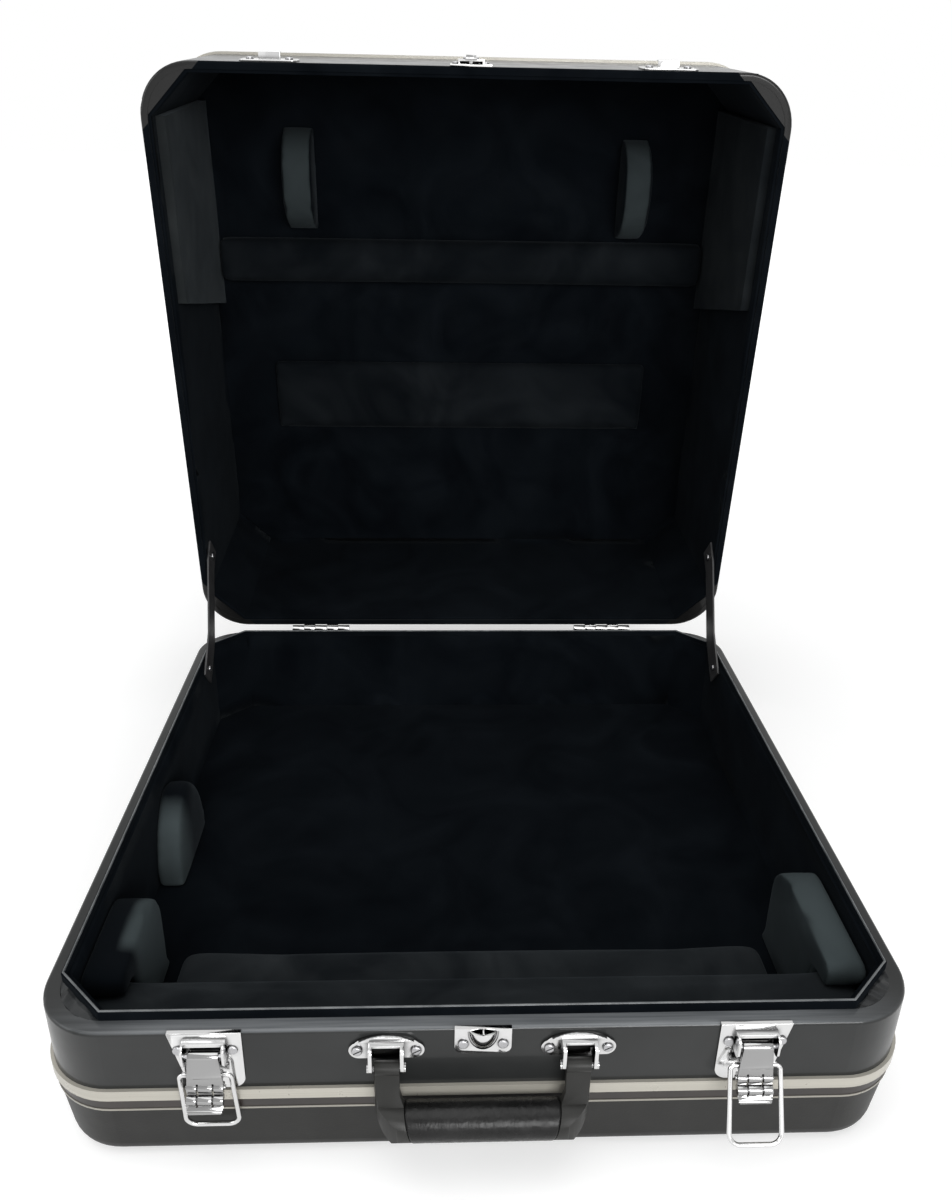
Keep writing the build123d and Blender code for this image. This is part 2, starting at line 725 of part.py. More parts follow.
def lock_knob():
    """Turn knob, spindle and curved hook, drawn with the hook turned up out of the way."""
    start = hook_proud_start
    arc = Circle(hook_arc_outer) - Circle(hook_arc_inner)
    reach = 2 * hook_arc_outer
    spread = reach * sin(radians(hook_arc_half_angle))
    drop = reach * cos(radians(hook_arc_half_angle))
    wedge = Polygon((0, 0), (-spread, -drop), (spread, -drop), align=None)
    arm = Pos(0, -hook_arc_inner / 2) * Rectangle(2 * hook_arm_half, hook_arc_inner + hook_arm_half)
    side_arm = Rot(0, 0, hook_arm_angle) * arm
    hook = Pos(0, 0, start) * slab((arc & wedge) + side_arm, hook_proud_end - start)
    spindle = Pos(0, 0, (start + housing_proud) / 2) * Cylinder(spindle_radius, housing_proud - start)
    disc = Pos(0, 0, housing_proud + knob_thickness / 2) * Cylinder(knob_radius, knob_thickness)
    disc = fillet(disc.edges().group_by(Axis.Z)[-1], knob_thickness / 3)
    grip_z = housing_proud + knob_thickness
    grip_reach = knob_radius - knob_grip_inset
    grip = block((-grip_reach, -knob_grip_width / 2, grip_z - knob_grip_sink),
                 (grip_reach, knob_grip_width / 2, grip_z + knob_grip_height))
    turned = Rot(0, 0, lock_turn) * (hook + spindle + disc + grip)
    return opened(on_front(0, lid_rim) * Pos(0, spindle_rise, 0) * turned)


def lock():
    return {"lock_keeper": lock_keeper(), "lock_housing": lock_housing(), "lock_knob": lock_knob()}


# ---- Handle --------------------------------------------------------------------------------------
def handle_bracket(side):
    arch_top = Pos(0, brow_z) * Ellipse(brow_half, brow_rise)
    above = Pos(0, brow_edge_z + brow_rise / 2) * Rectangle(2 * brow_half, brow_rise)
    plate = slab(Pos(0, bracket_z) * SlotOverall(bracket_width, bracket_height) + arch_top, bracket_thickness)
    brow = slab(arch_top & above, brow_thickness)
    outline = Polygon((0, prong_top), (prong_proud, prong_top), (prong_proud, handle_pin_z),
                      (handle_pin_proud, handle_pin_z - prong_tip),
                      (0, bracket_z - bracket_height / 2), align=None)
    outline = fillet(outline.vertices().group_by(Axis.X)[-1], prong_round)
    prong_x = prong_gap_half + prong_thickness / 2
    hood = block((-prong_gap_half, prong_top - bracket_thickness, 0),
                 (prong_gap_half, prong_top, hood_reach))
    hole = rod_x(handle_pin_radius + pin_clearance, -bracket_width, bracket_width)
    body = on_front(side * handle_x, base_height) * (plate + brow + hood)
    for s in (-1, 1):
        prong = side_view(side * handle_x + s * prong_x, base_height) \
            * extrude(outline, prong_thickness / 2, both=True)
        body = body + prong
    return body - on_front(side * handle_x, base_height) * Pos(0, handle_pin_z, handle_pin_proud) * hole


def handle_pin(side):
    half = prong_gap_half + prong_thickness
    shaft = rod_x(handle_pin_radius, -half, half)
    heads = [rod_x(handle_pin_head, min(a, b), max(a, b))
             for a, b in ((-half - handle_pin_head_length, -half), (half, half + handle_pin_head_length))]
    return on_front(side * handle_x, base_height) * Pos(0, handle_pin_z, handle_pin_proud) * (shaft + heads)


def handle_strap(side):
    """Leather end: loops over its pin, hangs flat and swells into the elbow that meets the grip."""
    grip_z = handle_pin_z - grip_drop
    lean = degrees(atan2(grip_proud - handle_pin_proud, grip_drop))
    length = hypot(grip_proud - handle_pin_proud, grip_drop)
    shank = Pos(handle_pin_proud, handle_pin_z) * Rot(0, 0, lean) \
        * Pos(0, -length / 2) * Rectangle(strap_thickness, length)
    loop = Pos(handle_pin_proud, handle_pin_z) * Circle(handle_pin_radius + strap_loop_wall)
    bulb = Pos(grip_proud, grip_z) * Circle(strap_bulb_radius)
    x = side * handle_x
    body = side_view(x, base_height) * extrude(shank + loop + bulb, strap_foot_half, both=True)
    top = handle_pin_z + handle_pin_radius + strap_loop_wall
    elbow, bottom = grip_z + strap_bulb_radius, grip_z - strap_bulb_radius
    corner = (side * strap_half, bottom)
    outline = Polygon((side * strap_half, top), (-side * strap_half, top),
                      (-side * strap_half, handle_pin_z - strap_straight), (-side * strap_elbow_half, elbow),
                      (-side * strap_foot_half, bottom), corner, align=None)
    outline = fillet(outline.vertices().sort_by_distance(corner)[0], strap_turn_radius)
    front = on_front(x, base_height) * slab(outline, 2 * grip_proud)
    reach = grip_proud + strap_bulb_radius
    brow = (side * strap_half, -reach)
    above = Polygon((side * strap_half, 0), (-side * strap_foot_half, 0), (-side * strap_foot_half, -reach),
                    brow, align=None)
    above = fillet(above.vertices().sort_by_distance(brow)[0], strap_brow_radius)
    hole = Pos(0, handle_pin_z, handle_pin_proud) \
        * rod_x(handle_pin_radius + pin_clearance, -strap_foot_half, strap_foot_half)
    return (body & front & Pos(x, front_y, 0) * slab(above, base_height)) - on_front(x, base_height) * hole


def grip_slab():
    """Region between the two elbows, whose inner faces lean in towards the bottom."""
    slant = (strap_foot_half - strap_elbow_half) / (2 * strap_bulb_radius)
    middle = handle_x - (strap_elbow_half + strap_foot_half) / 2
    reach = 2 * grip_radius
    top, bottom = middle + slant * reach, middle - slant * reach
    outline = Polygon((-top, reach), (-bottom, -reach), (bottom, -reach), (top, reach), align=None)
    return Pos(0, 0, -reach) * slab(outline, 2 * reach)


def handle_grip():
    between = grip_slab()
    grip = rod_x(grip_radius, -handle_x, handle_x) & between
    ends = grip.faces().sort_by(Axis.X)
    grip = fillet(ends[0].edges() + ends[-1].edges(), grip_end_round)
    place = on_front(0, base_height) * Pos(0, handle_pin_z - grip_drop, grip_proud)
    core = rod_x(grip_core_radius, -handle_x, handle_x) & between
    bore = rod_x(grip_core_radius + grip_core_clearance, -handle_x, handle_x)
    return place * (grip - bore), place * core


def handle():
    grip, core = handle_grip()
    return {
        "handle_bracket_left": handle_bracket(-1),
        "handle_bracket_right": handle_bracket(1),
        "handle_pins": handle_pin(-1) + handle_pin(1),
        "handle_strap_left": handle_strap(-1),
        "handle_strap_right": handle_strap(1),
        "handle_grip": grip,
        "handle_core": core,
    }


# ---- Hinges --------------------------------------------------------------------------------------
def hinge_leaf(side, on_lid):
    """Leaf on the back face with every other knuckle; the lid's leaf is the base's turned over."""
    up = 1 if on_lid else -1
    step = hinge_length / knuckle_count
    plate_near = knuckle_radius + leaf_gap
    half = hinge_length / 2
    outer_y = half_depth + leaf_thickness
    body = block((-half, half_depth, hinge_z + up * plate_near), (half, outer_y, hinge_z + up * leaf_height))
    first = 1 if on_lid else 0
    for index in range(first, knuckle_count, 2):
        start = -half + index * step + knuckle_gap / 2
        end = start + step - knuckle_gap
        body = body + block((start, half_depth, hinge_z), (end, outer_y, hinge_z + up * leaf_height / 2))
        body = body + Pos(0, hinge_y, hinge_z) * rod_x(knuckle_radius, start, end)
    bore = Pos(0, hinge_y, hinge_z) * rod_x(hinge_pin_radius + pin_clearance, -hinge_length, hinge_length)
    leaf = Pos(side * hinge_x, 0, 0) * (body - bore)
    return opened(leaf) if on_lid else leaf


def hinge_pin(side):
    half = hinge_length / 2
    return Pos(side * hinge_x, hinge_y, hinge_z) * rod_x(hinge_pin_radius, -half, half)


def hinges():
    return {
        "hinge_base_leaf_left": hinge_leaf(-1, False),
        "hinge_base_leaf_right": hinge_leaf(1, False),
        "hinge_lid_leaf_left": hinge_leaf(-1, True),
        "hinge_lid_leaf_right": hinge_leaf(1, True),
        "hinge_pins": hinge_pin(-1) + hinge_pin(1),
    }


# ---- Stays ---------------------------------------------------------------------------------------
def stay_ends():
    """Lower and upper end of each stay's middle line, as (y, z), with the lid at rest."""
    low = (hinge_y - stay_base_setback, base_height - stay_base_drop)
    swing = radians(lid_open_angle)
    up = lid_rim + stay_lid_inset - hinge_z
    high = (hinge_y - stay_lid_along * cos(swing) + up * sin(swing),
            hinge_z + stay_lid_along * sin(swing) + up * cos(swing))
    return low, high


def stay_place(side):
    """Plane along a stay: local x runs up its length, y runs towards the near side wall."""
    low, high = stay_ends()
    along = Vector(0, high[0] - low[0], high[1] - low[1])
    return Plane(origin=(0, *low), x_dir=along, z_dir=Vector(-side, 0, 0).cross(along))


def stay_length():
    low, high = stay_ends()
    return hypot(high[0] - low[0], high[1] - low[1])


def stay_strap(side):
    """Flat strap that limits the lid, riveted inside the base's lining and inside the lid's."""
    inner = lining_half_x - stay_wall_gap - stay_thickness
    outer = lid_lining_half_x - stay_wall_gap - stay_thickness
    length = stay_length()
    line = [(0, inner), (stay_low_flat, inner), (length - stay_high_flat, outer), (length, outer)]
    far_side = [(along, x + stay_thickness) for along, x in reversed(line)]
    outline = Polygon(*line, *far_side, align=None)
    return stay_place(side) * extrude(outline, stay_width / 2, both=True)


# ---- Fasteners and feet --------------------------------------------------------------------------
def latch_rivets(side, on_lid):
    place = on_front(side * latch_x, lid_rim if on_lid else base_height)
    z = catch_start + catch_height / 2 if on_lid else rivet_z
    base = catch_thickness if on_lid else latch_plate_thickness
    head = dome_head(rivet_radius, rivet_height)
    return [place * Pos(s * rivet_x, z, base) * head for s in (-1, 1)]


def lock_rivets(on_lid):
    place = on_front(0, lid_rim if on_lid else base_height)
    z = lock_rivet_z if on_lid else -lock_rivet_z
    head = dome_head(lock_rivet_radius, rivet_height)
    return [place * Pos(s * lock_rivet_x, z, lock_plate_thickness) * head for s in (-1, 1)]


def hinge_rivets(side, on_lid):
    up = 1 if on_lid else -1
    z = hinge_z + up * (knuckle_radius + leaf_gap + leaf_height) / 2
    head = dome_head(rivet_radius, rivet_height)
    places = [side * hinge_x + i * hinge_rivet_spacing for i in (-1, 0, 1)]
    return [on_back(x, z) * Pos(0, 0, leaf_thickness) * head for x in places]


def stay_rivet(side, at_lid):
    """Rivet head on a stay's inner face, at one of its ends."""
    inner = (lid_lining_half_x if at_lid else lining_half_x) - stay_wall_gap - stay_thickness
    along = stay_length() - stay_rivet_end if at_lid else stay_rivet_end
    head = dome_head(stay_rivet_radius, rivet_height)
    return stay_place(side) * Pos(along, inner, 0) * Rot(90, 0, 0) * head


def stay_shank(side, at_lid):
    """The same rivet's shank, between the stay and the lining that holds it."""
    outer = (lid_lining_half_x if at_lid else lining_half_x)
    along = stay_length() - stay_rivet_end if at_lid else stay_rivet_end
    shank = Pos(0, 0, -stay_wall_gap / 2) * Cylinder(stay_rivet_radius, stay_wall_gap)
    return stay_place(side) * Pos(along, outer, 0) * Rot(90, 0, 0) * Pos(0, 0, stay_wall_gap) * shank


def screw(side, offset):
    head = dome_head(rivet_radius, rivet_height)
    slot = Pos(0, 0, rivet_height) * Box(2 * rivet_radius, screw_slot, screw_slot)
    place = on_front(side * handle_x + offset, base_height + bracket_z)
    return place * Pos(0, 0, bracket_thickness) * (head - Rot(0, 0, screw_turn) * slot)


def glide(x, z):
    """Domed foot that the case stands on when it is upright."""
    foot = Cylinder(glide_radius, glide_proud)
    foot = fillet(foot.edges().group_by(Axis.Z)[-1], glide_proud / 2)
    return on_back(x, z) * Pos(0, 0, glide_proud / 2) * foot


def group(solids):
    """Separate solids kept together as one exported piece."""
    return Compound(children=[solid for item in solids for solid in item.solids()])


def fasteners():
    sides = (-1, 1)
    base = [head for s in sides for head in latch_rivets(s, False) + hinge_rivets(s, False)]
    base = base + lock_rivets(False)
    lid = [head for s in sides for head in latch_rivets(s, True) + hinge_rivets(s, True)]
    lid = [opened(head) for head in lid + lock_rivets(True)]
    base = base + [stay_rivet(s, False) + stay_shank(s, False) for s in sides]
    lid = lid + [stay_rivet(s, True) + stay_shank(s, True) for s in sides]
    lid_glide_z = lid_stripe_low - lid_glide_gap - glide_radius
    lid_glides = [opened(glide(s * glide_x, lid_glide_z)) for s in sides]
    return {
        "base_rivets": group(base),
        "lid_rivets": group(lid),
        "handle_screws": group([screw(s, o) for s in sides for o in (-screw_x, screw_x)]),
        "base_glides": group([glide(s * glide_x, base_height - glide_drop) for s in sides]),
        "lid_glides": group(lid_glides),
    }


def stays():
    return {"stay_strap_left": stay_strap(-1), "stay_strap_right": stay_strap(1)}


# ---- Export --------------------------------------------------------------------------------------
def build():
    nodes = {}
    for make in (base_shell, lid_shell, base_lining, lid_lining, base_cushions, lid_cushions,
                 latches, lock, handle, hinges, stays, fasteners):
        nodes.update(make())
    return nodes


os.makedirs("parts", exist_ok=True)
for name, shape in build().items():
    export_step(shape, f"parts/{name}.step")
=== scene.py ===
import json
import math

import bmesh
import bpy
from mathutils import Matrix, Vector, noise


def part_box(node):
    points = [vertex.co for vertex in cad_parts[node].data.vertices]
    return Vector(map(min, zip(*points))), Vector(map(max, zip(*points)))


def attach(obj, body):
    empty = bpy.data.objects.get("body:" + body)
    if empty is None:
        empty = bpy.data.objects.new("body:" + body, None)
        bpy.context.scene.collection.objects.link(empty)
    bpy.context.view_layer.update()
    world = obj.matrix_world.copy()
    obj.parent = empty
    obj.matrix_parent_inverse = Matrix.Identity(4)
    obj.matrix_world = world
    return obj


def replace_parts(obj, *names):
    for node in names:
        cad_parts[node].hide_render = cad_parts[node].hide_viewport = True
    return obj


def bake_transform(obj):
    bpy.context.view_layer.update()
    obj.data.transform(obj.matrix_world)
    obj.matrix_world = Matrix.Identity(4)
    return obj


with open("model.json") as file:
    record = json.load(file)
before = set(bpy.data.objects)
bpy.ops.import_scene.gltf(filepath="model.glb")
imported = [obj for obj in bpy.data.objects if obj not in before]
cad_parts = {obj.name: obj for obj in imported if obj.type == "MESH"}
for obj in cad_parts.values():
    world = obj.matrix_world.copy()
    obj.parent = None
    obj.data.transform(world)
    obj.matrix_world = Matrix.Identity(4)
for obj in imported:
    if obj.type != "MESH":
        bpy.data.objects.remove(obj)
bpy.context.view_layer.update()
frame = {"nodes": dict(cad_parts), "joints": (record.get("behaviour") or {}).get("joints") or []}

# Looks of the accordion case.  Lengths are in metres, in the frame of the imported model:
# +X to the right of someone facing the latches, -Y towards them, +Z up.

MM = 0.001
LID_HINGE = next(joint for joint in frame["joints"] if joint["name"] == "lid_hinge")
HINGE = Vector(LID_HINGE["pos_m"])
OPEN_ANGLE = math.radians(LID_HINGE["range_deg"][1])
# The lid stands open in the frame: the swing takes a place on the shut lid to where it is now.
LID_SWING = Matrix.Translation(HINGE) @ Matrix.Rotation(-OPEN_ANGLE, 4, "X") @ Matrix.Translation(-HINGE)
LID_CLOSE = LID_SWING.inverted()


# ---- Shader helpers ------------------------------------------------------------------------------
class Finish:
    """A material under construction: one Principled shader and the nodes that feed it."""

    def __init__(self, name, colour, roughness, metallic=0.0):
        self.material = bpy.data.materials.new(name)
        self.material.use_nodes = True
        tree = self.material.node_tree
        self.nodes = tree.nodes
        self.links = tree.links
        self.shader = self.nodes["Principled BSDF"]
        self.shader.inputs["Base Color"].default_value = (*colour, 1.0)
        self.shader.inputs["Roughness"].default_value = roughness
        self.shader.inputs["Metallic"].default_value = metallic
        self.place = self.nodes.new("ShaderNodeTexCoord").outputs["Object"]
        self.height = None

    def set(self, **values):
        for name, value in values.items():
            socket = self.shader.inputs[name.replace("_", " ")]
            socket.default_value = (*value, 1.0) if isinstance(value, tuple) else value

    def stretched(self, scale):
        """The object's coordinates with a scale of their own along each axis."""
        mapping = self.nodes.new("ShaderNodeMapping")
        mapping.inputs["Scale"].default_value = scale
        self.links.new(self.place, mapping.inputs["Vector"])
        return mapping.outputs["Vector"]

    def noise(self, scale, detail=2.0, distortion=0.0, place=None):
        node = self.nodes.new("ShaderNodeTexNoise")
        node.inputs["Scale"].default_value = scale
        node.inputs["Detail"].default_value = detail
        node.inputs["Distortion"].default_value = distortion
        self.links.new(place or self.place, node.inputs["Vector"])
        return node.outputs["Fac"]

    def cells(self, scale, feature="F1", place=None):
        node = self.nodes.new("ShaderNodeTexVoronoi")
        node.feature = feature
        node.inputs["Scale"].default_value = scale
        self.links.new(place or self.place, node.inputs["Vector"])
        return node.outputs["Distance"]

    def stored(self, name):
        """A value kept at each vertex of the piece."""
        node = self.nodes.new("ShaderNodeAttribute")
        node.attribute_type = "GEOMETRY"
        node.attribute_name = name
        return node.outputs["Fac"]

    def mean(self, first, second, share):
        """Weighted mean of two values, where share is the second's weight."""
        node = self.nodes.new("ShaderNodeMix")
        node.inputs["Factor"].default_value = share
        self.links.new(first, node.inputs["A"])
        self.links.new(second, node.inputs["B"])
        return node.outputs["Result"]

    def over(self, below, above, mask):
        """One colour over another where the mask is 1."""
        node = self.nodes.new("ShaderNodeMix")
        node.data_type = "RGBA"
        colours = [socket for socket in node.inputs if socket.type == "RGBA"]
        self.links.new(mask, node.inputs["Factor"])
        self.links.new(below, colours[0])
        self.links.new(above, colours[1])
        return next(socket for socket in node.outputs if socket.type == "RGBA")

    def band(self, axis, start, end):
        """0 up to start and 1 from end on, along one axis of the object, in either direction."""
        parts = self.nodes.new("ShaderNodeSeparateXYZ")
        self.links.new(self.place, parts.inputs["Vector"])
        return self.spread(parts.outputs[axis], 0.0, 1.0, start, end)

    def both(self, first, second):
        """Product of two values: a mask that holds only where both do."""
        node = self.nodes.new("ShaderNodeMath")
        node.operation = "MULTIPLY"
        self.links.new(first, node.inputs[0])
        self.links.new(second, node.inputs[1])
        return node.outputs["Value"]

    def openness_for_painted_shade(self, reach):
        """How open the surroundings of a point are, used to paint shade into the corners and crevices of
        fittings.
        """
        node = self.nodes.new("ShaderNodeAmbientOcclusion")
        node.samples = 8
        node.inputs["Distance"].default_value = reach
        return node.outputs["AO"]

    def ramp(self, value, stops):
        """Colour or grey ramp; stops are (position, colour)."""
        node = self.nodes.new("ShaderNodeValToRGB")
        points = node.color_ramp.elements
        while len(points) < len(stops):
            points.new(0.5)
        for point, (position, colour) in zip(points, stops):
            point.position = position
            grey = isinstance(colour, (int, float))
            point.color = (colour, colour, colour, 1.0) if grey else (*colour, 1.0)
        self.links.new(value, node.inputs["Fac"])
        return node.outputs["Color"]

    def spread(self, value, low, high, from_low=0.3, from_high=0.7):
        """A value's middle range stretched to run from low to high."""
        node = self.nodes.new("ShaderNodeMapRange")
        node.inputs["From Min"].default_value = from_low
        node.inputs["From Max"].default_value = from_high
        node.inputs["To Min"].default_value = low
        node.inputs["To Max"].default_value = high
        self.links.new(value, node.inputs["Value"])
        return node.outputs["Result"]

    def feed(self, socket, value):
        self.links.new(value, self.shader.inputs[socket])
        return self

    def relief(self, value, strength, distance):
        """Bump that adds to the bumps already there."""
        node = self.nodes.new("ShaderNodeBump")
        node.inputs["Strength"].default_value = strength
        node.inputs["Distance"].default_value = distance
        self.links.new(value, node.inputs["Height"])
        if self.height is not None:
            self.links.new(self.height, node.inputs["Normal"])
        self.height = node.outputs["Normal"]
        self.links.new(self.height, self.shader.inputs["Normal"])
        return self


def between(dark, pale, share):
    """The colour that lies the given share of the way from dark to pale."""
    return tuple((1.0 - share) * a + share * b for a, b in zip(dark, pale))


# ---- Finishes ------------------------------------------------------------------------------------
# Painted highlight on the top of the base's front rim: its colours and where it fades out.
RIM_HIGHLIGHT_DARK = (0.080, 0.086, 0.092)
RIM_HIGHLIGHT_PALE = (0.155, 0.164, 0.172)
RIM_HIGHLIGHT_FADE_DOWN = (0.5 * MM, 1.5 * MM)          # below the rim's top: where the fading starts and ends
RIM_HIGHLIGHT_FADE_BACK = (12 * MM, 30 * MM)            # behind the front face, likewise
RIM_HIGHLIGHT_FADE_SIDE = 90 * MM                       # in from each side face, where the painted highlight is at its full


def painted_rim_highlight(finish, colour):
    """Painted highlight: the top of the base's front rim is painted paler, in streaks along it, for the
    light it catches.
    """
    low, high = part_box("base_frame")
    streaks = finish.noise(1.0, 4.0, 0.3, place=finish.stretched((9.0, 260.0, 9.0)))
    mask = finish.both(finish.band("Z", high.z - RIM_HIGHLIGHT_FADE_DOWN[1], high.z - RIM_HIGHLIGHT_FADE_DOWN[0]),
                       finish.band("Y", low.y + RIM_HIGHLIGHT_FADE_BACK[1], low.y + RIM_HIGHLIGHT_FADE_BACK[0]))
    for sign in (-1, 1):
        mask = finish.both(mask, finish.band("X", sign * high.x, sign * (high.x - RIM_HIGHLIGHT_FADE_SIDE)))
    painted_highlight = finish.ramp(streaks, [(0.35, RIM_HIGHLIGHT_DARK), (0.65, RIM_HIGHLIGHT_PALE)])
    return finish.over(colour, painted_highlight, mask)


def make_covering(name, dark, pale, creases=0.0, rim_highlight=False):
    """Grained black vinyl cloth glued over the frames; it puckers where it turns a corner."""
    finish = Finish(name, dark, 0.36)
    grain = finish.cells(1500.0)
    colour = finish.ramp(finish.noise(14.0, 4.0), [(0.30, dark), (0.70, pale)])
    # Painted highlight: paler streaks on the front rim's top.
    if rim_highlight:
        colour = painted_rim_highlight(finish, colour)
    finish.feed("Base Color", colour)
    finish.feed("Roughness", finish.spread(finish.noise(40.0, 5.0), 0.30, 0.44))
    finish.set(Specular_IOR_Level=0.10, Coat_Weight=0.35, Coat_Roughness=0.10)
    if creases:
        folds = finish.noise(17.0, 1.0, 3.0)
        finish.relief(folds, creases, 14.0 * MM)
    finish.relief(finish.noise(120.0, 3.0), 0.06, 0.3 * MM)
    return finish.relief(grain, 0.16, 0.06 * MM).material


def make_pan_plastic():
    """Moulded plastic with a fine leather-like grain."""
    finish = Finish("moulded_plastic", (0.0108, 0.0108, 0.0099), 0.46)
    finish.feed("Base Color", finish.ramp(finish.noise(8.0, 3.0), [
        (0.3, (0.0063, 0.0063, 0.0057)), (0.7, (0.0117, 0.0117, 0.0108))]))
    finish.set(Specular_IOR_Level=0.26)
    finish.feed("Roughness", finish.spread(finish.noise(60.0, 4.0), 0.45, 0.51))
    finish.relief(finish.cells(900.0, "SMOOTH_F1"), 0.30, 0.15 * MM)
    return finish.relief(finish.noise(2500.0, 2.0), 0.15, 0.05 * MM).material


def make_stripe_plastic(name, tone):
    """Champagne-coloured moulding with a fine drawn texture along its length; tone is its brightness."""
    finish = Finish(name, (0.46 * tone, 0.44 * tone, 0.385 * tone), 0.34, metallic=0.25)
    drawn = finish.noise(1.0, 3.0, place=finish.stretched((6.0, 6.0, 4000.0)))
    finish.feed("Base Color", finish.ramp(drawn, [
        (0.25, (0.40 * tone, 0.383 * tone, 0.335 * tone)),
        (0.75, (0.52 * tone, 0.498 * tone, 0.438 * tone))]))
    finish.feed("Roughness", finish.spread(finish.noise(90.0, 4.0), 0.26, 0.42))
    return finish.relief(drawn, 0.10, 0.05 * MM).material


def make_groove_plastic():
    """Brown-black moulding between the stripe and its piping, drawn along its length."""
    finish = Finish("dark_groove", (0.014, 0.011, 0.010), 0.35)
    finish.feed("Base Color", finish.ramp(finish.noise(30.0, 3.0), [
        (0.3, (0.010, 0.008, 0.007)), (0.7, (0.022, 0.016, 0.013))]))
    drawn = finish.noise(1.0, 2.0, place=finish.stretched((10.0, 10.0, 3000.0)))
    return finish.relief(drawn, 0.08, 0.05 * MM).material


def make_chrome(name, tone):
    """Plating over stamped steel, with faint waviness and handling marks, and painted shade darkening its
    colour in corners and crevices; tone is its brightness.
    """
    finish = Finish(name, (tone, tone, tone), 0.10, metallic=1.0)
    smears = finish.noise(160.0, 6.0, 0.6)
    finish.feed("Roughness", finish.spread(smears, 0.05, 0.18, 0.35, 0.75))
    # Painted shade: the colour runs darker where the surroundings close in.
    finish.feed("Base Color", finish.ramp(finish.openness_for_painted_shade(4.0 * MM), [
        (0.30, 0.08 * tone), (0.66, 0.45 * tone), (0.95, tone)]))
    return finish.relief(finish.noise(220.0, 2.0), 0.10, 0.15 * MM).material


def make_nickel():
    """Duller plating on the rivets and screws, with painted shade darkening it round their edges."""
    finish = Finish("dull_plating", (0.36, 0.36, 0.37), 0.30, metallic=1.0)
    # Painted shade round the edges, where the surroundings close in.
    finish.feed("Base Color", finish.ramp(finish.openness_for_painted_shade(2.5 * MM), [
        (0.30, (0.05, 0.05, 0.05)), (0.70, (0.24, 0.24, 0.245)), (0.95, (0.42, 0.42, 0.43))]))
    finish.feed("Roughness", finish.spread(finish.noise(400.0, 5.0), 0.22, 0.42))
    return finish.relief(finish.noise(700.0, 3.0), 0.15, 0.1 * MM).material


def make_steel():
    """Bare steel of the pins, finely scratched."""
    finish = Finish("bare_steel", (0.45, 0.45, 0.46), 0.32, metallic=1.0)
    finish.feed("Roughness", finish.spread(finish.noise(300.0, 5.0), 0.24, 0.45))
    return finish.relief(finish.noise(900.0, 3.0), 0.1, 0.1 * MM).material


def make_velour(name, dark, pale, sheen, takes_painted_light=False):
    """Short-pile plush: pile lying both ways in broad marks, over a fine fibre texture.

    With painted light, the plush is painted pale where its piece's stored attribute is 1 and dark, as
    painted shade, where it is 0, mixed with the broad marks."""
    finish = Finish(name, dark, 0.92)
    marks = finish.noise(11.0, 5.0, 1.4)
    stops = [(0.32, dark), (0.54, between(dark, pale, 0.5)), (0.72, pale)]
    # Painted light and shade: the stored per-vertex value, mixed with the broad marks.
    if takes_painted_light:
        marks = finish.mean(marks, finish.stored("painted_light"), 0.7)
        stops = [(0.18, dark), (0.50, between(dark, pale, 0.6)), (0.82, pale)]
    finish.feed("Base Color", finish.ramp(marks, stops))
    finish.feed("Roughness", finish.spread(finish.noise(35.0, 4.0), 0.80, 1.0))
    finish.set(Sheen_Weight=sheen, Sheen_Roughness=0.40, Sheen_Tint=(0.62, 0.72, 0.80),
               Specular_IOR_Level=0.03)
    finish.relief(finish.noise(60.0, 4.0, 0.4), 0.20, 0.8 * MM)
    finish.relief(finish.noise(1700.0, 3.0), 0.55, 0.35 * MM)
    return finish.material


def make_strap_leather():
    """Smooth charcoal leather on the handle's ends."""
    finish = Finish("strap_leather", (0.014, 0.014, 0.013), 0.45)
    finish.feed("Base Color", finish.ramp(finish.noise(30.0, 4.0), [
        (0.3, (0.011, 0.011, 0.010)), (0.7, (0.019, 0.019, 0.018))]))
    finish.feed("Roughness", finish.spread(finish.noise(60.0, 3.0), 0.40, 0.55))
    finish.set(Specular_IOR_Level=0.24)
    finish.relief(finish.noise(90.0, 3.0), 0.12, 0.5 * MM)
    return finish.relief(finish.cells(1400.0), 0.15, 0.08 * MM).material


def make_grip_leather():
    """Darker wrapped leather, shiny from the hand and finely cracked along its length."""
    finish = Finish("grip_leather", (0.010, 0.010, 0.010), 0.30)
    cracks = finish.cells(1.0, "F1", place=finish.stretched((140.0, 420.0, 420.0)))
    finish.feed("Base Color", finish.ramp(finish.noise(45.0, 4.0), [
        (0.3, (0.005, 0.005, 0.005)), (0.7, (0.012, 0.012, 0.012))]))
    finish.feed("Roughness", finish.spread(finish.noise(220.0, 4.0, 0.6), 0.20, 0.40))
    finish.set(Specular_IOR_Level=0.20)
    wrinkles = finish.noise(1.0, 3.0, 0.8, place=finish.stretched((260.0, 90.0, 90.0)))
    finish.relief(wrinkles, 0.30, 0.9 * MM)
    return finish.relief(cracks, 0.30, 0.25 * MM).material


def make_edge_highlight_vinyl():
    """Pale grey bead along the edge of the board inside the base, a painted highlight standing in for the
    light that edge catches.
    """
    finish = Finish("edge_highlight_vinyl", (0.085, 0.090, 0.093), 0.35)
    finish.feed("Base Color", finish.ramp(finish.noise(60.0, 4.0), [
        (0.3, (0.045, 0.050, 0.053)), (0.7, (0.130, 0.138, 0.142))]))
    return finish.relief(finish.noise(500.0, 3.0), 0.2, 0.1 * MM).material


def make_webbing():
    """Narrow stay strap of coated cloth."""
    finish = Finish("coated_strap", (0.020, 0.020, 0.021), 0.55)
    finish.feed("Base Color", finish.ramp(finish.noise(70.0, 4.0), [
        (0.3, (0.014, 0.014, 0.015)), (0.7, (0.034, 0.034, 0.035))]))
    return finish.relief(finish.cells(1300.0), 0.35, 0.15 * MM).material


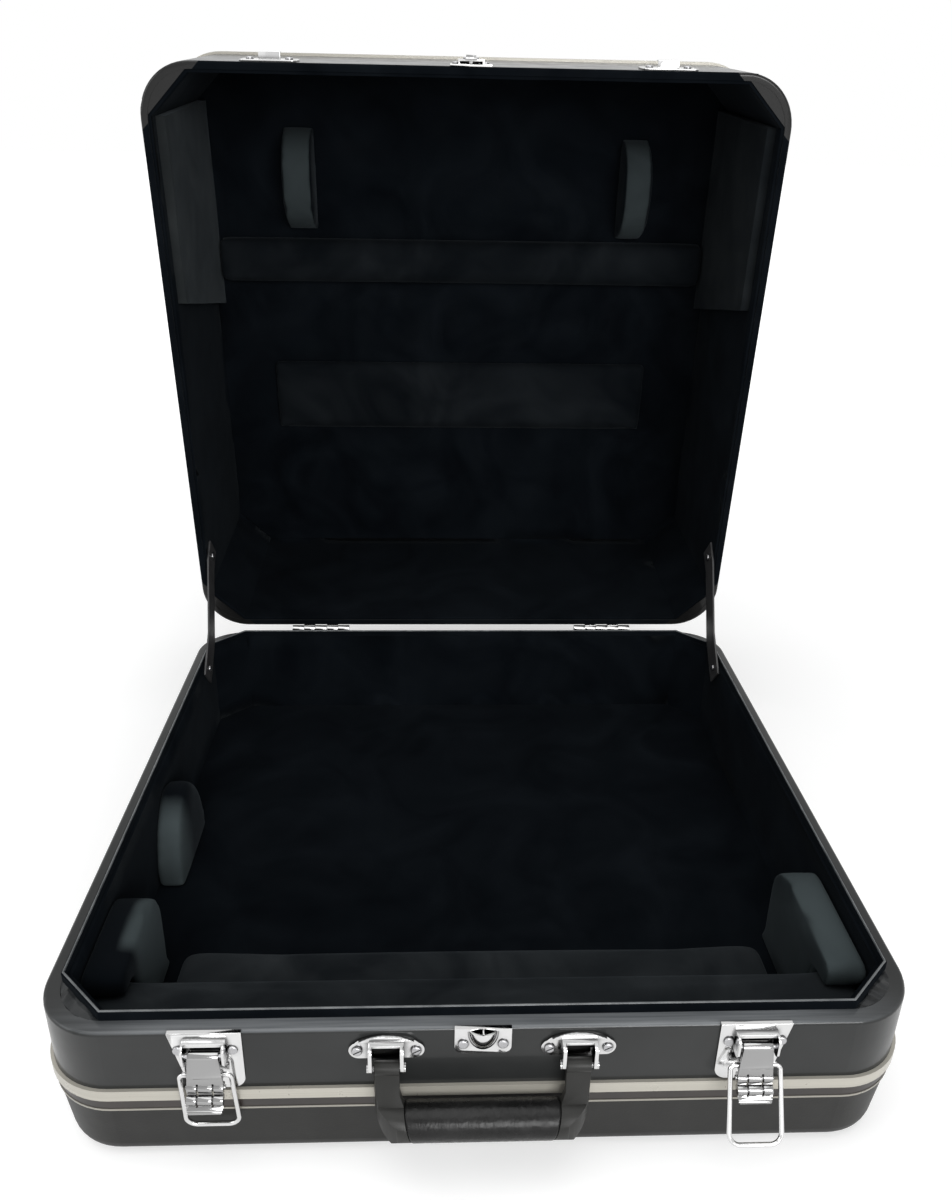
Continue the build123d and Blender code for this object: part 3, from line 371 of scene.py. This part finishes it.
COVERING = make_covering("grained_covering", (0.012, 0.013, 0.013), (0.020, 0.021, 0.021),
                         rim_highlight=True)
TURNED_COVERING = make_covering("turned_covering", (0.005, 0.006, 0.007), (0.022, 0.024, 0.025),
                                creases=1.0)
CORNER_COVERING = make_covering("corner_covering", (0.004, 0.004, 0.004), (0.007, 0.007, 0.007))
PAN_PLASTIC = make_pan_plastic()
STRIPE_PLASTIC = make_stripe_plastic("champagne_moulding", 0.86)
BEAD_PLASTIC = make_stripe_plastic("champagne_piping", 0.58)
GROOVE_PLASTIC = make_groove_plastic()
CHROME = make_chrome("bright_plating", 0.64)
# A darker copy of the plating for the latch levers: painted shade for their tilted faces.
SHADED_LEVER_CHROME = make_chrome("lever_plating_painted_shade", 0.32)
NICKEL = make_nickel()
STEEL = make_steel()
LINING_PLUSH = make_velour("lining_plush", (0.0012, 0.0019, 0.0029), (0.0040, 0.0055, 0.0074), 0.015)
LID_PLUSH = make_velour("lid_plush", (0.0026, 0.0036, 0.0048), (0.0085, 0.0104, 0.0122), 0.025)
PAD_PLUSH = make_velour("pad_plush", (0.0080, 0.0098, 0.0115), (0.0230, 0.0265, 0.0290), 0.06)
# Two copies of one plush for the lid's side pads: the left one paler as painted light, the right one darker
# as painted shade.
SIDE_PAD_LIT_AND_SHADED_PLUSH = {
    "left": make_velour("left_pad_plush_painted_lit", (0.0100, 0.0118, 0.0128), (0.0240, 0.0270, 0.0280), 0.05),
    "right": make_velour("right_pad_plush_painted_shade", (0.0040, 0.0052, 0.0064), (0.0130, 0.0152, 0.0165), 0.03),
}
# Plush painted pale and dark by each pad's painted light and shade.
PAINTED_LIGHT_PLUSH = make_velour("painted_light_plush", (0.0020, 0.0029, 0.0040), (0.0450, 0.0565, 0.0595), 0.04,
                         takes_painted_light=True)
STRAP_LEATHER = make_strap_leather()
GRIP_LEATHER = make_grip_leather()
EDGE_HIGHLIGHT_VINYL = make_edge_highlight_vinyl()
WEBBING = make_webbing()


# ---- Mesh helpers --------------------------------------------------------------------------------
SAME_POINT = 0.002 * MM
SAME_PLANE = math.radians(0.5)
ON_CUT = 0.01 * MM
HARD_CREASE = math.radians(40)                # on metal and leather, a sharper turn shades as an edge
SOFT_CREASE = math.radians(50)                # the same on cloth
ROLLED_TURN = math.radians(35)                # an edge that turns by more than this is rolled over
ROLLED_STEPS = 3


def whole(bm):
    return bm.verts[:] + bm.edges[:] + bm.faces[:]


def node_mesh(node):
    """Merged copy of a CAD node's mesh, with its flat faces joined up."""
    bm = bmesh.new()
    bm.from_mesh(frame["nodes"][node].data)
    bmesh.ops.remove_doubles(bm, verts=bm.verts, dist=SAME_POINT)
    bmesh.ops.dissolve_limit(bm, angle_limit=SAME_PLANE, verts=bm.verts, edges=bm.edges)
    return bm


def finished(bm, name, material, slot=None):
    """Turn a bmesh into a smooth-shaded object with its finish."""
    mesh = bpy.data.meshes.new(name)
    bm.to_mesh(mesh)
    bm.free()
    piece = bpy.data.objects.new(name, mesh)
    bpy.context.scene.collection.objects.link(piece)
    mesh.materials.append(material)
    mesh.shade_smooth()
    return piece


def rounded(piece, width):
    """Rolled edges, wherever two faces meet at a marked turn."""
    bevel = piece.modifiers.new("rolled_edges", "BEVEL")
    bevel.width = width
    bevel.segments = ROLLED_STEPS
    bevel.limit_method = "ANGLE"
    bevel.angle_limit = ROLLED_TURN
    bevel.harden_normals = True
    bevel.use_clamp_overlap = True
    return piece


def freeze(piece):
    """Make a piece's modifiers part of its mesh."""
    graph = bpy.context.evaluated_depsgraph_get()
    mesh = bpy.data.meshes.new_from_object(piece.evaluated_get(graph), depsgraph=graph)
    piece.modifiers.clear()
    old = piece.data
    piece.data = mesh
    bpy.data.meshes.remove(old)
    return piece


def sliced(bm, spacing, axes="XYZ"):
    """Cut a mesh into cells no longer than the spacing, so that it can be moulded."""
    for axis in axes:
        index = "XYZ".index(axis)
        values = [v.co[index] for v in bm.verts]
        low, high = min(values), max(values)
        count = int((high - low) / spacing)
        normal = Vector((0, 0, 0))
        normal[index] = 1.0
        for step in range(1, count + 1):
            point = normal * (low + (high - low) * step / (count + 1))
            bmesh.ops.bisect_plane(bm, geom=whole(bm), plane_co=point, plane_no=normal, dist=ON_CUT)
    return bm


def ruffled(piece, depth, size, held):
    """Press hollows and swells of about the given size into a surface, with half as much again at a
    finer size, except where held says that the surface is backed."""
    mesh = piece.data
    normals = [v.normal.copy() for v in mesh.vertices]
    for vertex, normal in zip(mesh.vertices, normals):
        if held(vertex.co, normal):
            continue
        swell = noise.noise(vertex.co / size) + 0.5 * noise.noise(vertex.co / (0.4 * size))
        vertex.co += normal * depth * swell
    return piece


# ---- Rigid parts ---------------------------------------------------------------------------------
FINISHES = {
    COVERING: ["base_frame", "lid_frame"],
    CORNER_COVERING: ["lid_corner_gussets"],
    PAN_PLASTIC: ["base_pan", "lid_pan"],
    STRIPE_PLASTIC: ["base_stripe", "lid_stripe"],
    BEAD_PLASTIC: ["base_bead", "lid_bead"],
    GROOVE_PLASTIC: ["base_channel", "lid_channel"],
    CHROME: ["handle_pins", "base_glides", "lid_glides"],
    NICKEL: ["base_rivets", "lid_rivets", "handle_screws"],
    STEEL: ["latch_pins", "hinge_pins", "handle_core"],
}
PRESSED_PARTS = {              # the body that carries each part, and its rolled edge in millimetres
    "latch_plate_left": ("base", 0.45), "latch_plate_right": ("base", 0.45),
    "latch_lever_left": ("lever_left", 0.5), "latch_lever_right": ("lever_right", 0.5),
    "latch_bail_left": ("bail_left", 0.2), "latch_bail_right": ("bail_right", 0.2),
    "latch_catch_left": ("lid", 0.45), "latch_catch_right": ("lid", 0.45),
    "lock_keeper": ("base", 0.45), "lock_housing": ("lid", 0.45), "lock_knob": ("knob", 0.4),
    "handle_bracket_left": ("base", 0.5), "handle_bracket_right": ("base", 0.5),
    "hinge_base_leaf_left": ("base", 0.35), "hinge_base_leaf_right": ("base", 0.35),
    "hinge_lid_leaf_left": ("lid", 0.35), "hinge_lid_leaf_right": ("lid", 0.35),
}


def paint_nodes():
    for material, names in FINISHES.items():
        for name in names:
            node = frame["nodes"][name]
            node.data.materials.clear()
            node.data.materials.append(material)


def pressed_part(node, body, edge):
    """Stamped and plated part whose edges are rolled over."""
    # Levers take the darker copy of the plating, painted shade for their tilted faces.
    plating = SHADED_LEVER_CHROME if node.startswith("latch_lever") else CHROME
    piece = finished(node_mesh(node), node + "_plated", plating, "chrome")
    freeze(rounded(piece, edge * MM))
    piece.data.set_sharp_from_angle(angle=HARD_CREASE)
    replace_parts(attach(piece, body), node)


# ---- Plush linings -------------------------------------------------------------------------------
BASE_MIDDLE = Vector((0, 0, 0))
LID_MIDDLE = LID_SWING @ Vector((0, 0, 200 * MM))      # inside the lid, 200 mm up once it is shut
LEVEL_SHARE = 0.5             # a face whose normal has more of the upright than this lies level
FACING_DOWN = 0.9             # the same, for a face that looks straight down
FLOOR_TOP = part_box("base_floor_pad")[1].z
FLOOR_SKIN = 0.2 * MM         # how far below the floor pad's top its face still counts as the top


def covered_board(node, body, material, edge, depth=0.0, size=60 * MM, held=None, cell=18 * MM, axes="XYZ"):
    """Board or thin pad under glued plush: rolled edges and, given a depth, a slightly uneven face."""
    piece = finished(sliced(node_mesh(node), cell, axes), node + "_plush", material, "velour")
    freeze(rounded(piece, edge))
    if depth:
        ruffled(piece, depth, size, held)
    piece.data.set_sharp_from_angle(angle=SOFT_CREASE)
    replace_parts(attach(piece, body), node)


def upright_share(normal):
    """How much a normal on the lid points up once the lid is shut."""
    return (LID_CLOSE.to_3x3() @ normal).z


# Each of these says whether a place on a lining is backed: glued down or hidden, so that it stays even.
def backed_floor(co, normal):
    return co.z < FLOOR_TOP - FLOOR_SKIN or normal.z < LEVEL_SHARE


def backed_base_wall(co, normal):
    return normal.dot(BASE_MIDDLE - co) < 0 or abs(normal.z) > LEVEL_SHARE


def backed_lid_top(co, normal):
    return upright_share(normal) > -FACING_DOWN


def backed_lid_wall(co, normal):
    return backed_lid_side(co, normal) or abs(upright_share(normal)) > LEVEL_SHARE


def backed_lid_side(co, normal):
    return normal.dot(LID_MIDDLE - co) < 0


def linings():
    covered_board("base_floor_pad", "base", LINING_PLUSH, edge=0.8 * MM,
                  depth=0.9 * MM, size=90 * MM, held=backed_floor, axes="XY")
    covered_board("base_wall_lining", "base", LINING_PLUSH, edge=0.8 * MM,
                  depth=0.5 * MM, size=60 * MM, held=backed_base_wall)
    covered_board("base_band", "base", LINING_PLUSH, edge=1.2 * MM, axes="")
    covered_board("lid_top_lining", "lid", LINING_PLUSH, edge=0.8 * MM,
                  depth=0.8 * MM, size=90 * MM, held=backed_lid_top, axes="XZ")
    covered_board("lid_wall_lining", "lid", LINING_PLUSH, edge=0.8 * MM,
                  depth=0.5 * MM, size=70 * MM, held=backed_lid_wall)
    for side, plush in SIDE_PAD_LIT_AND_SHADED_PLUSH.items():
        covered_board(f"lid_side_pad_{side}", "lid", plush, edge=2.0 * MM,
                      depth=0.4 * MM, size=60 * MM, held=backed_lid_side, cell=14 * MM)


# ---- Corners and edges ---------------------------------------------------------------------------
FOLD_CELL = 4 * MM
BINDING_THICKNESS = 0.4 * MM
CORNER_CUT = 52.0 * MM        # from the frame's side, where the binding gives way to corner cloth
RIM_SHARE = 0.55              # a face of the lid's frame whose normal has more of down than this is its rim
BEAD_RADIUS = 0.8 * MM
BEAD_SHIFT = 0.6              # of the lining's thickness, out from its outer face
CREST_SKIN = 0.1 * MM         # how far below the lining's crest a point still counts as on it


def folded_corners():
    """Covering cloth gathered in folds over the base's corners."""
    node = "base_corner_gussets"
    cells = sliced(node_mesh(node), FOLD_CELL, "XY")
    piece = finished(cells, node + "_folded", TURNED_COVERING, "leatherette")
    ruffled(piece, depth=1.0 * MM, size=11 * MM, held=lambda co, normal: normal.z < LEVEL_SHARE)
    piece.data.set_sharp_from_angle(angle=SOFT_CREASE)
    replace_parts(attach(piece, "base"), node)


def rim_binding():
    """Plush turned over the lid's rim, and covering cloth where the rim rounds its corners."""
    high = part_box("base_frame")[1]
    corners = bmesh.new()
    straights = node_mesh("lid_frame")
    rest = [face for face in straights.faces if upright_share(face.normal) > -RIM_SHARE]
    bmesh.ops.delete(straights, geom=rest, context="FACES")
    for across, along in ((1, 1), (1, -1), (-1, 1), (-1, -1)):
        middle = Vector((across * (high.x - CORNER_CUT), along * high.y, HINGE.z))
        cut = {"plane_co": LID_SWING @ middle, "plane_no": LID_SWING.to_3x3() @ Vector((across, along, 0))}
        corner = straights.copy()
        bmesh.ops.bisect_plane(corner, geom=whole(corner), clear_inner=True, **cut)
        bmesh.ops.bisect_plane(straights, geom=whole(straights), clear_outer=True, **cut)
        scrap = bpy.data.meshes.new("corner")
        corner.to_mesh(scrap)
        corner.free()
        corners.from_mesh(scrap)
        bpy.data.meshes.remove(scrap)
    for bm, name, material, slot in ((straights, "lid_rim_binding", LINING_PLUSH, "velour"),
                                     (corners, "lid_rim_corners", CORNER_COVERING, "leatherette")):
        bmesh.ops.solidify(bm, geom=bm.faces[:], thickness=-BINDING_THICKNESS)
        bmesh.ops.recalc_face_normals(bm, faces=bm.faces)
        piece = finished(bm, name, material, slot)
        piece.data.set_sharp_from_angle(angle=SOFT_CREASE)
        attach(piece, "lid")


def highlight_bead():
    """Pale bead along the top of the board inside the base's rim: a painted highlight for the light caught
    by that edge.

    The lining's top edge gives the route: each corner of it is an inner and an outer point."""
    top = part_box("base_band")[1].z
    bm = node_mesh("base_wall_lining")
    crest = max(v.co.z for v in bm.verts)
    loops = sorted((v.co.copy() for v in bm.verts if v.co.z > crest - CREST_SKIN),
                   key=lambda co: math.atan2(co.y, co.x))
    bm.free()
    data = bpy.data.curves.new("highlight_bead", "CURVE")
    data.dimensions = "3D"
    data.bevel_depth = BEAD_RADIUS
    data.bevel_resolution = 3
    line = data.splines.new("POLY")
    line.points.add(len(loops) // 2 - 1)
    line.use_cyclic_u = True
    for point, pair in zip(line.points, zip(loops[::2], loops[1::2])):
        inner, outer = sorted(pair, key=lambda co: co.to_2d().length)
        place = outer + (outer - inner) * BEAD_SHIFT
        point.co = (place.x, place.y, top, 1.0)
    rail = bpy.data.objects.new("highlight_bead_path", data)
    bm = bmesh.new()
    bm.from_mesh(rail.to_mesh())
    bmesh.ops.remove_doubles(bm, verts=bm.verts, dist=ON_CUT)
    bmesh.ops.recalc_face_normals(bm, faces=bm.faces)
    piece = finished(bm, "highlight_bead", EDGE_HIGHLIGHT_VINYL, "cream")
    bpy.data.objects.remove(rail)
    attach(piece, "base")


# ---- Foam pads -----------------------------------------------------------------------------------
VOXEL = 5 * MM
GLUED_REACH = 0.6 * VOXEL
INSET = 1.2 * MM              # how far a free face is drawn in before it swells
SWELL_LIMIT = 2.2 * MM
PRESSURE = 4.0
CLOTH_FRAMES = 20
CHEEK_FADE = (22 * MM, 40 * MM)               # behind the left cheek's front: painted shade up to painted light
BUMPER_FADE = (78 * MM, 50 * MM)              # before the side bumper's back end: painted light down to painted shade


def foam_pad(node, body, material, backs, soften=6, painted_light=None):
    """Foam block in a plush cover: its free faces swell and its edges roll, its glued faces stay flat.

    backs are (point, outward normal) pairs for the faces that are glued down, soften is how many
    times the edges are smoothed, and the last argument gives painted light and shade: how pale the plush is
    painted, 0 to 1, by place and normal."""
    piece = finished(node_mesh(node), node + "_padded", material, "velour")
    planes = [(Vector(point), Vector(normal).normalized()) for point, normal in backs]
    remesh = piece.modifiers.new("cells", "REMESH")
    remesh.mode = "VOXEL"
    remesh.voxel_size = VOXEL
    freeze(piece)
    settle(piece, planes, soften)
    swell(piece, planes)
    divide = piece.modifiers.new("fine", "SUBSURF")
    divide.levels = divide.render_levels = 1
    freeze(piece)
    for vertex in piece.data.vertices:
        press_flat(vertex, planes)
    piece.data.shade_smooth()
    # Painted light and shade, stored at each vertex for the plush's colour.
    if painted_light:
        layer = piece.data.attributes.new("painted_light", "FLOAT", "POINT")
        for vertex in piece.data.vertices:
            layer.data[vertex.index].value = painted_light(vertex.co, vertex.normal)
    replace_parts(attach(piece, body), node)


def glued(place, planes):
    """Whether a place lies on a glued face, to within a part of a cell."""
    return any(abs((place - point).dot(normal)) < GLUED_REACH for point, normal in planes)


def press_flat(vertex, planes):
    """Keep a vertex on the near side of each glued face."""
    for point, normal in planes:
        past = (vertex.co - point).dot(normal)
        if past > 0.0:
            vertex.co -= normal * past


def settle(piece, planes, rounds):
    """Round the block's edges off and draw its free faces in a little, ready to swell."""
    bm = bmesh.new()
    bm.from_mesh(piece.data)
    free = [v for v in bm.verts if not glued(v.co, planes)]
    for _ in range(rounds):
        bmesh.ops.smooth_vert(bm, verts=free, factor=0.5, use_axis_x=True, use_axis_y=True, use_axis_z=True)
    bm.normal_update()
    for vertex in free:
        vertex.co -= vertex.normal * INSET
    bm.to_mesh(piece.data)
    bm.free()


def swell(piece, planes):
    """Blow the cover up against its seams, then take the result, capped, as the mesh."""
    rest = [v.co.copy() for v in piece.data.vertices]
    held = [v.index for v in piece.data.vertices if glued(v.co, planes)]
    group = piece.vertex_groups.new(name="glued")
    group.add(held, 1.0, "REPLACE")
    cloth = piece.modifiers.new("cover", "CLOTH")
    cloth.settings.vertex_group_mass = "glued"
    cloth.settings.use_pressure = True
    cloth.settings.uniform_pressure_force = PRESSURE
    cloth.settings.effector_weights.gravity = 0.0
    cloth.point_cache.frame_start = 1
    cloth.point_cache.frame_end = CLOTH_FRAMES
    for step in range(1, CLOTH_FRAMES + 1):
        bpy.context.scene.frame_set(step)
    freeze(piece)
    for vertex, start in zip(piece.data.vertices, rest):
        move = vertex.co - start
        if move.length > SWELL_LIMIT:
            vertex.co = start + move.normalized() * SWELL_LIMIT
    bpy.context.scene.frame_set(1)
    piece.vertex_groups.clear()


def ease(value, low, high):
    """0 below low and 1 above high, with a smooth step between."""
    share = min(1.0, max(0.0, (value - low) / (high - low)))
    return share * share * (3 - 2 * share)


def left_cheek_painted_light(low, high):
    """Painted light on the half towards the middle, where it faces that way and lies back from its front;
    painted shade elsewhere.
    """
    def painted_light(co, normal):
        across = (co.x - low.x) / (high.x - low.x)
        behind = ease(co.y, low.y + CHEEK_FADE[0], low.y + CHEEK_FADE[1])
        return 0.85 * behind * ease(across, 0.45, 0.70) * ease(normal.x + 0.3 * normal.z, 0.15, 0.45)
    return painted_light


def right_cheek_painted_light(co, normal):
    """Painted light on the top and towards the side; painted shade on the face towards the middle."""
    return 0.92 * (1.0 - 0.70 * ease(-normal.x, 0.40, 0.75))


def side_bumper_painted_light(high):
    """Painted light, less on the face towards the middle, and painted shade at the back."""
    def painted_light(co, normal):
        back = ease(co.y, high.y - BUMPER_FADE[0], high.y - BUMPER_FADE[1])
        return (1.0 - 0.35 * ease(normal.x, 0.5, 0.9)) * (1.0 - back)
    return painted_light


def lid_bumper_painted_light(co, normal):
    """Painted light at half strength on the crown, and painted shade on the flanks."""
    return 0.45 * (1.0 - ease(abs(normal.x), 0.45, 0.8))


def base_pads():
    bottom = ((0, 0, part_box("front_ledge")[0].z), (0, 0, -1))
    for node in ("front_ledge", "front_bar"):
        front = ((0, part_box(node)[0].y, 0), (0, -1, 0))
        foam_pad(node, "base", PAD_PLUSH, [bottom, front])
    low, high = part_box("front_cheek_left")
    foam_pad("front_cheek_left", "base", PAINTED_LIGHT_PLUSH, [bottom, ((low.x, 0, 0), (-1, 0, 0))],
             soften=5, painted_light=left_cheek_painted_light(low, high))
    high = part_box("front_cheek_right")[1]
    foam_pad("front_cheek_right", "base", PAINTED_LIGHT_PLUSH, [bottom, ((high.x, 0, 0), (1, 0, 0))],
             soften=5, painted_light=right_cheek_painted_light)
    low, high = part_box("side_bumper_left")
    foam_pad("side_bumper_left", "base", PAINTED_LIGHT_PLUSH, [bottom, ((low.x, 0, 0), (-1, 0, 0))],
             painted_light=side_bumper_painted_light(high))


def lid_pads():
    """Pads on the lid's inner face, whose glued sides all lie in one plane."""
    up = LID_SWING.to_3x3() @ Vector((0, 0, 1))
    ledge = frame["nodes"]["lid_ledge"].data.vertices
    face = max((v.co.copy() for v in ledge), key=lambda co: co.dot(up))
    for node in ("lid_ledge", "lid_cushion"):
        foam_pad(node, "lid", LID_PLUSH, [(face, up)], soften=4)
    for node in ("lid_bumper_left", "lid_bumper_right"):
        foam_pad(node, "lid", PAINTED_LIGHT_PLUSH, [(face, up)], soften=3, painted_light=lid_bumper_painted_light)


# ---- Straps --------------------------------------------------------------------------------------
STAY_CELL = 6 * MM
STAY_ROUND = 0.4 * MM
HANDLE_LEATHER = {            # finish, and width of the rolled edge
    "handle_strap_left": (STRAP_LEATHER, 1.2 * MM),
    "handle_strap_right": (STRAP_LEATHER, 1.2 * MM),
    "handle_grip": (GRIP_LEATHER, 0.8 * MM),
}


def stay_strap(side):
    """Strap that stops the lid, its mesh cut into short cells along its length."""
    node = f"stay_strap_{side}"
    piece = finished(sliced(node_mesh(node), STAY_CELL, "YZ"), node + "_cloth", WEBBING, "strap")
    freeze(rounded(piece, STAY_ROUND))
    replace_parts(piece, node)
    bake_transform(piece)


def handle_leather():
    for node, (material, edge) in HANDLE_LEATHER.items():
        piece = finished(node_mesh(node), node + "_leather", material, "leather")
        freeze(rounded(piece, edge))
        piece.data.set_sharp_from_angle(angle=HARD_CREASE)
        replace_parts(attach(piece, "handle"), node)


# ---- Build ---------------------------------------------------------------------------------------
paint_nodes()
for part, (body, edge) in PRESSED_PARTS.items():
    pressed_part(part, body, edge)
linings()
rim_binding()
highlight_bead()
folded_corners()
base_pads()
lid_pads()
stay_strap("left")
stay_strap("right")
handle_leather()


# ---- Floor, light and camera ---------------------------------------------------------------------
FLOOR_SIZE = 30.0
FLOOR_COLOUR = (0.80, 0.80, 0.80)
FLOOR_GLOW_NEAR = 0.35
FLOOR_GLOW_FAR = 0.90
FLOOR_GLOW_START = 0.5        # metres from the middle, where the near glow begins to grow
FLOOR_GLOW_END = 2.5
SURROUND_LIGHT = 0.42
CAMERA_PLACE = Vector((-0.0288, -0.7030, 0.5907))
CAMERA_RIGHT = Vector((0.99918, -0.03641, 0.01753))
CAMERA_DOWN = Vector((0.00074, -0.41728, -0.90878))
CAMERA_AHEAD = Vector((0.04041, 0.90805, -0.41691))
LENS = 30.34


def seen_directly(nodes, links):
    """1 where the camera looks, straight or by way of metal or glass, and 0 for other light."""
    path = nodes.new("ShaderNodeLightPath")
    total = path.outputs["Is Camera Ray"]
    for ray in ("Is Glossy Ray", "Is Transmission Ray"):
        either = nodes.new("ShaderNodeMath")
        either.operation = "MAXIMUM"
        links.new(total, either.inputs[0])
        links.new(path.outputs[ray], either.inputs[1])
        total = either.outputs[0]
    return total


def floor_paint():
    """Pale matt paint with a glow that is seen but lights nothing, so that just the shadow shows."""
    finish = Finish("pale_floor", FLOOR_COLOUR, 0.9)
    finish.feed("Base Color", finish.ramp(finish.noise(3.0, 2.0), [
        (0.3, between((0.0, 0.0, 0.0), FLOOR_COLOUR, 0.98)), (0.7, FLOOR_COLOUR)]))
    finish.set(Emission_Color=(1.0, 1.0, 1.0), Specular_IOR_Level=0.0)
    distance = finish.nodes.new("ShaderNodeVectorMath")
    distance.operation = "LENGTH"
    finish.links.new(finish.place, distance.inputs[0])
    glow = finish.spread(distance.outputs["Value"], FLOOR_GLOW_NEAR, FLOOR_GLOW_FAR,
                         FLOOR_GLOW_START, FLOOR_GLOW_END)
    seen = finish.both(seen_directly(finish.nodes, finish.links), glow)
    return finish.feed("Emission Strength", seen).material


def floor():
    bm = bmesh.new()
    bmesh.ops.create_grid(bm, x_segments=2, y_segments=2, size=FLOOR_SIZE)
    finished(bm, "floor", floor_paint())


def area_light(name, place, target, size, power):
    data = bpy.data.lights.new(name, "AREA")
    data.shape = "RECTANGLE"
    data.size, data.size_y = size
    data.energy = power
    lamp = bpy.data.objects.new(name, data)
    bpy.context.scene.collection.objects.link(lamp)
    lamp.location = place
    lamp.rotation_mode = "QUATERNION"
    lamp.rotation_quaternion = (Vector(target) - Vector(place)).to_track_quat("-Z", "Y")


def world_light():
    """Even pale surroundings: white to the camera and in reflections, dimmer as light."""
    world = bpy.data.worlds.new("studio")
    bpy.context.scene.world = world
    world.use_nodes = True
    nodes, links = world.node_tree.nodes, world.node_tree.links
    background = nodes["Background"]
    strength = nodes.new("ShaderNodeMapRange")
    strength.inputs["To Min"].default_value = SURROUND_LIGHT
    strength.inputs["To Max"].default_value = 1.0
    links.new(seen_directly(nodes, links), strength.inputs["Value"])
    links.new(strength.outputs["Result"], background.inputs["Strength"])
    background.inputs["Color"].default_value = (1.0, 1.0, 1.0, 1.0)


def camera():
    data = bpy.data.cameras.new("view")
    data.lens = LENS
    data.sensor_width = 36.0
    data.clip_start = 0.02
    eye = bpy.data.objects.new("view", data)
    bpy.context.scene.collection.objects.link(eye)
    turn = Matrix((CAMERA_RIGHT, -CAMERA_DOWN, -CAMERA_AHEAD)).transposed()
    eye.matrix_world = Matrix.Translation(CAMERA_PLACE) @ turn.to_4x4()
    bpy.context.scene.camera = eye


floor()
area_light("overhead", place=(-0.3, -0.2, 2.6), target=(0, 0.1, 0.2), size=(2.4, 2.0), power=26)
area_light("front_fill", place=(0.7, -2.6, 1.1), target=(0, 0, 0.2), size=(1.8, 1.2), power=64)
area_light("left_fill", place=(-2.2, -0.9, 1.2), target=(0, 0, 0.25), size=(1.4, 1.4), power=12)
world_light()
camera()
bpy.context.scene.view_settings.view_transform = "Standard"
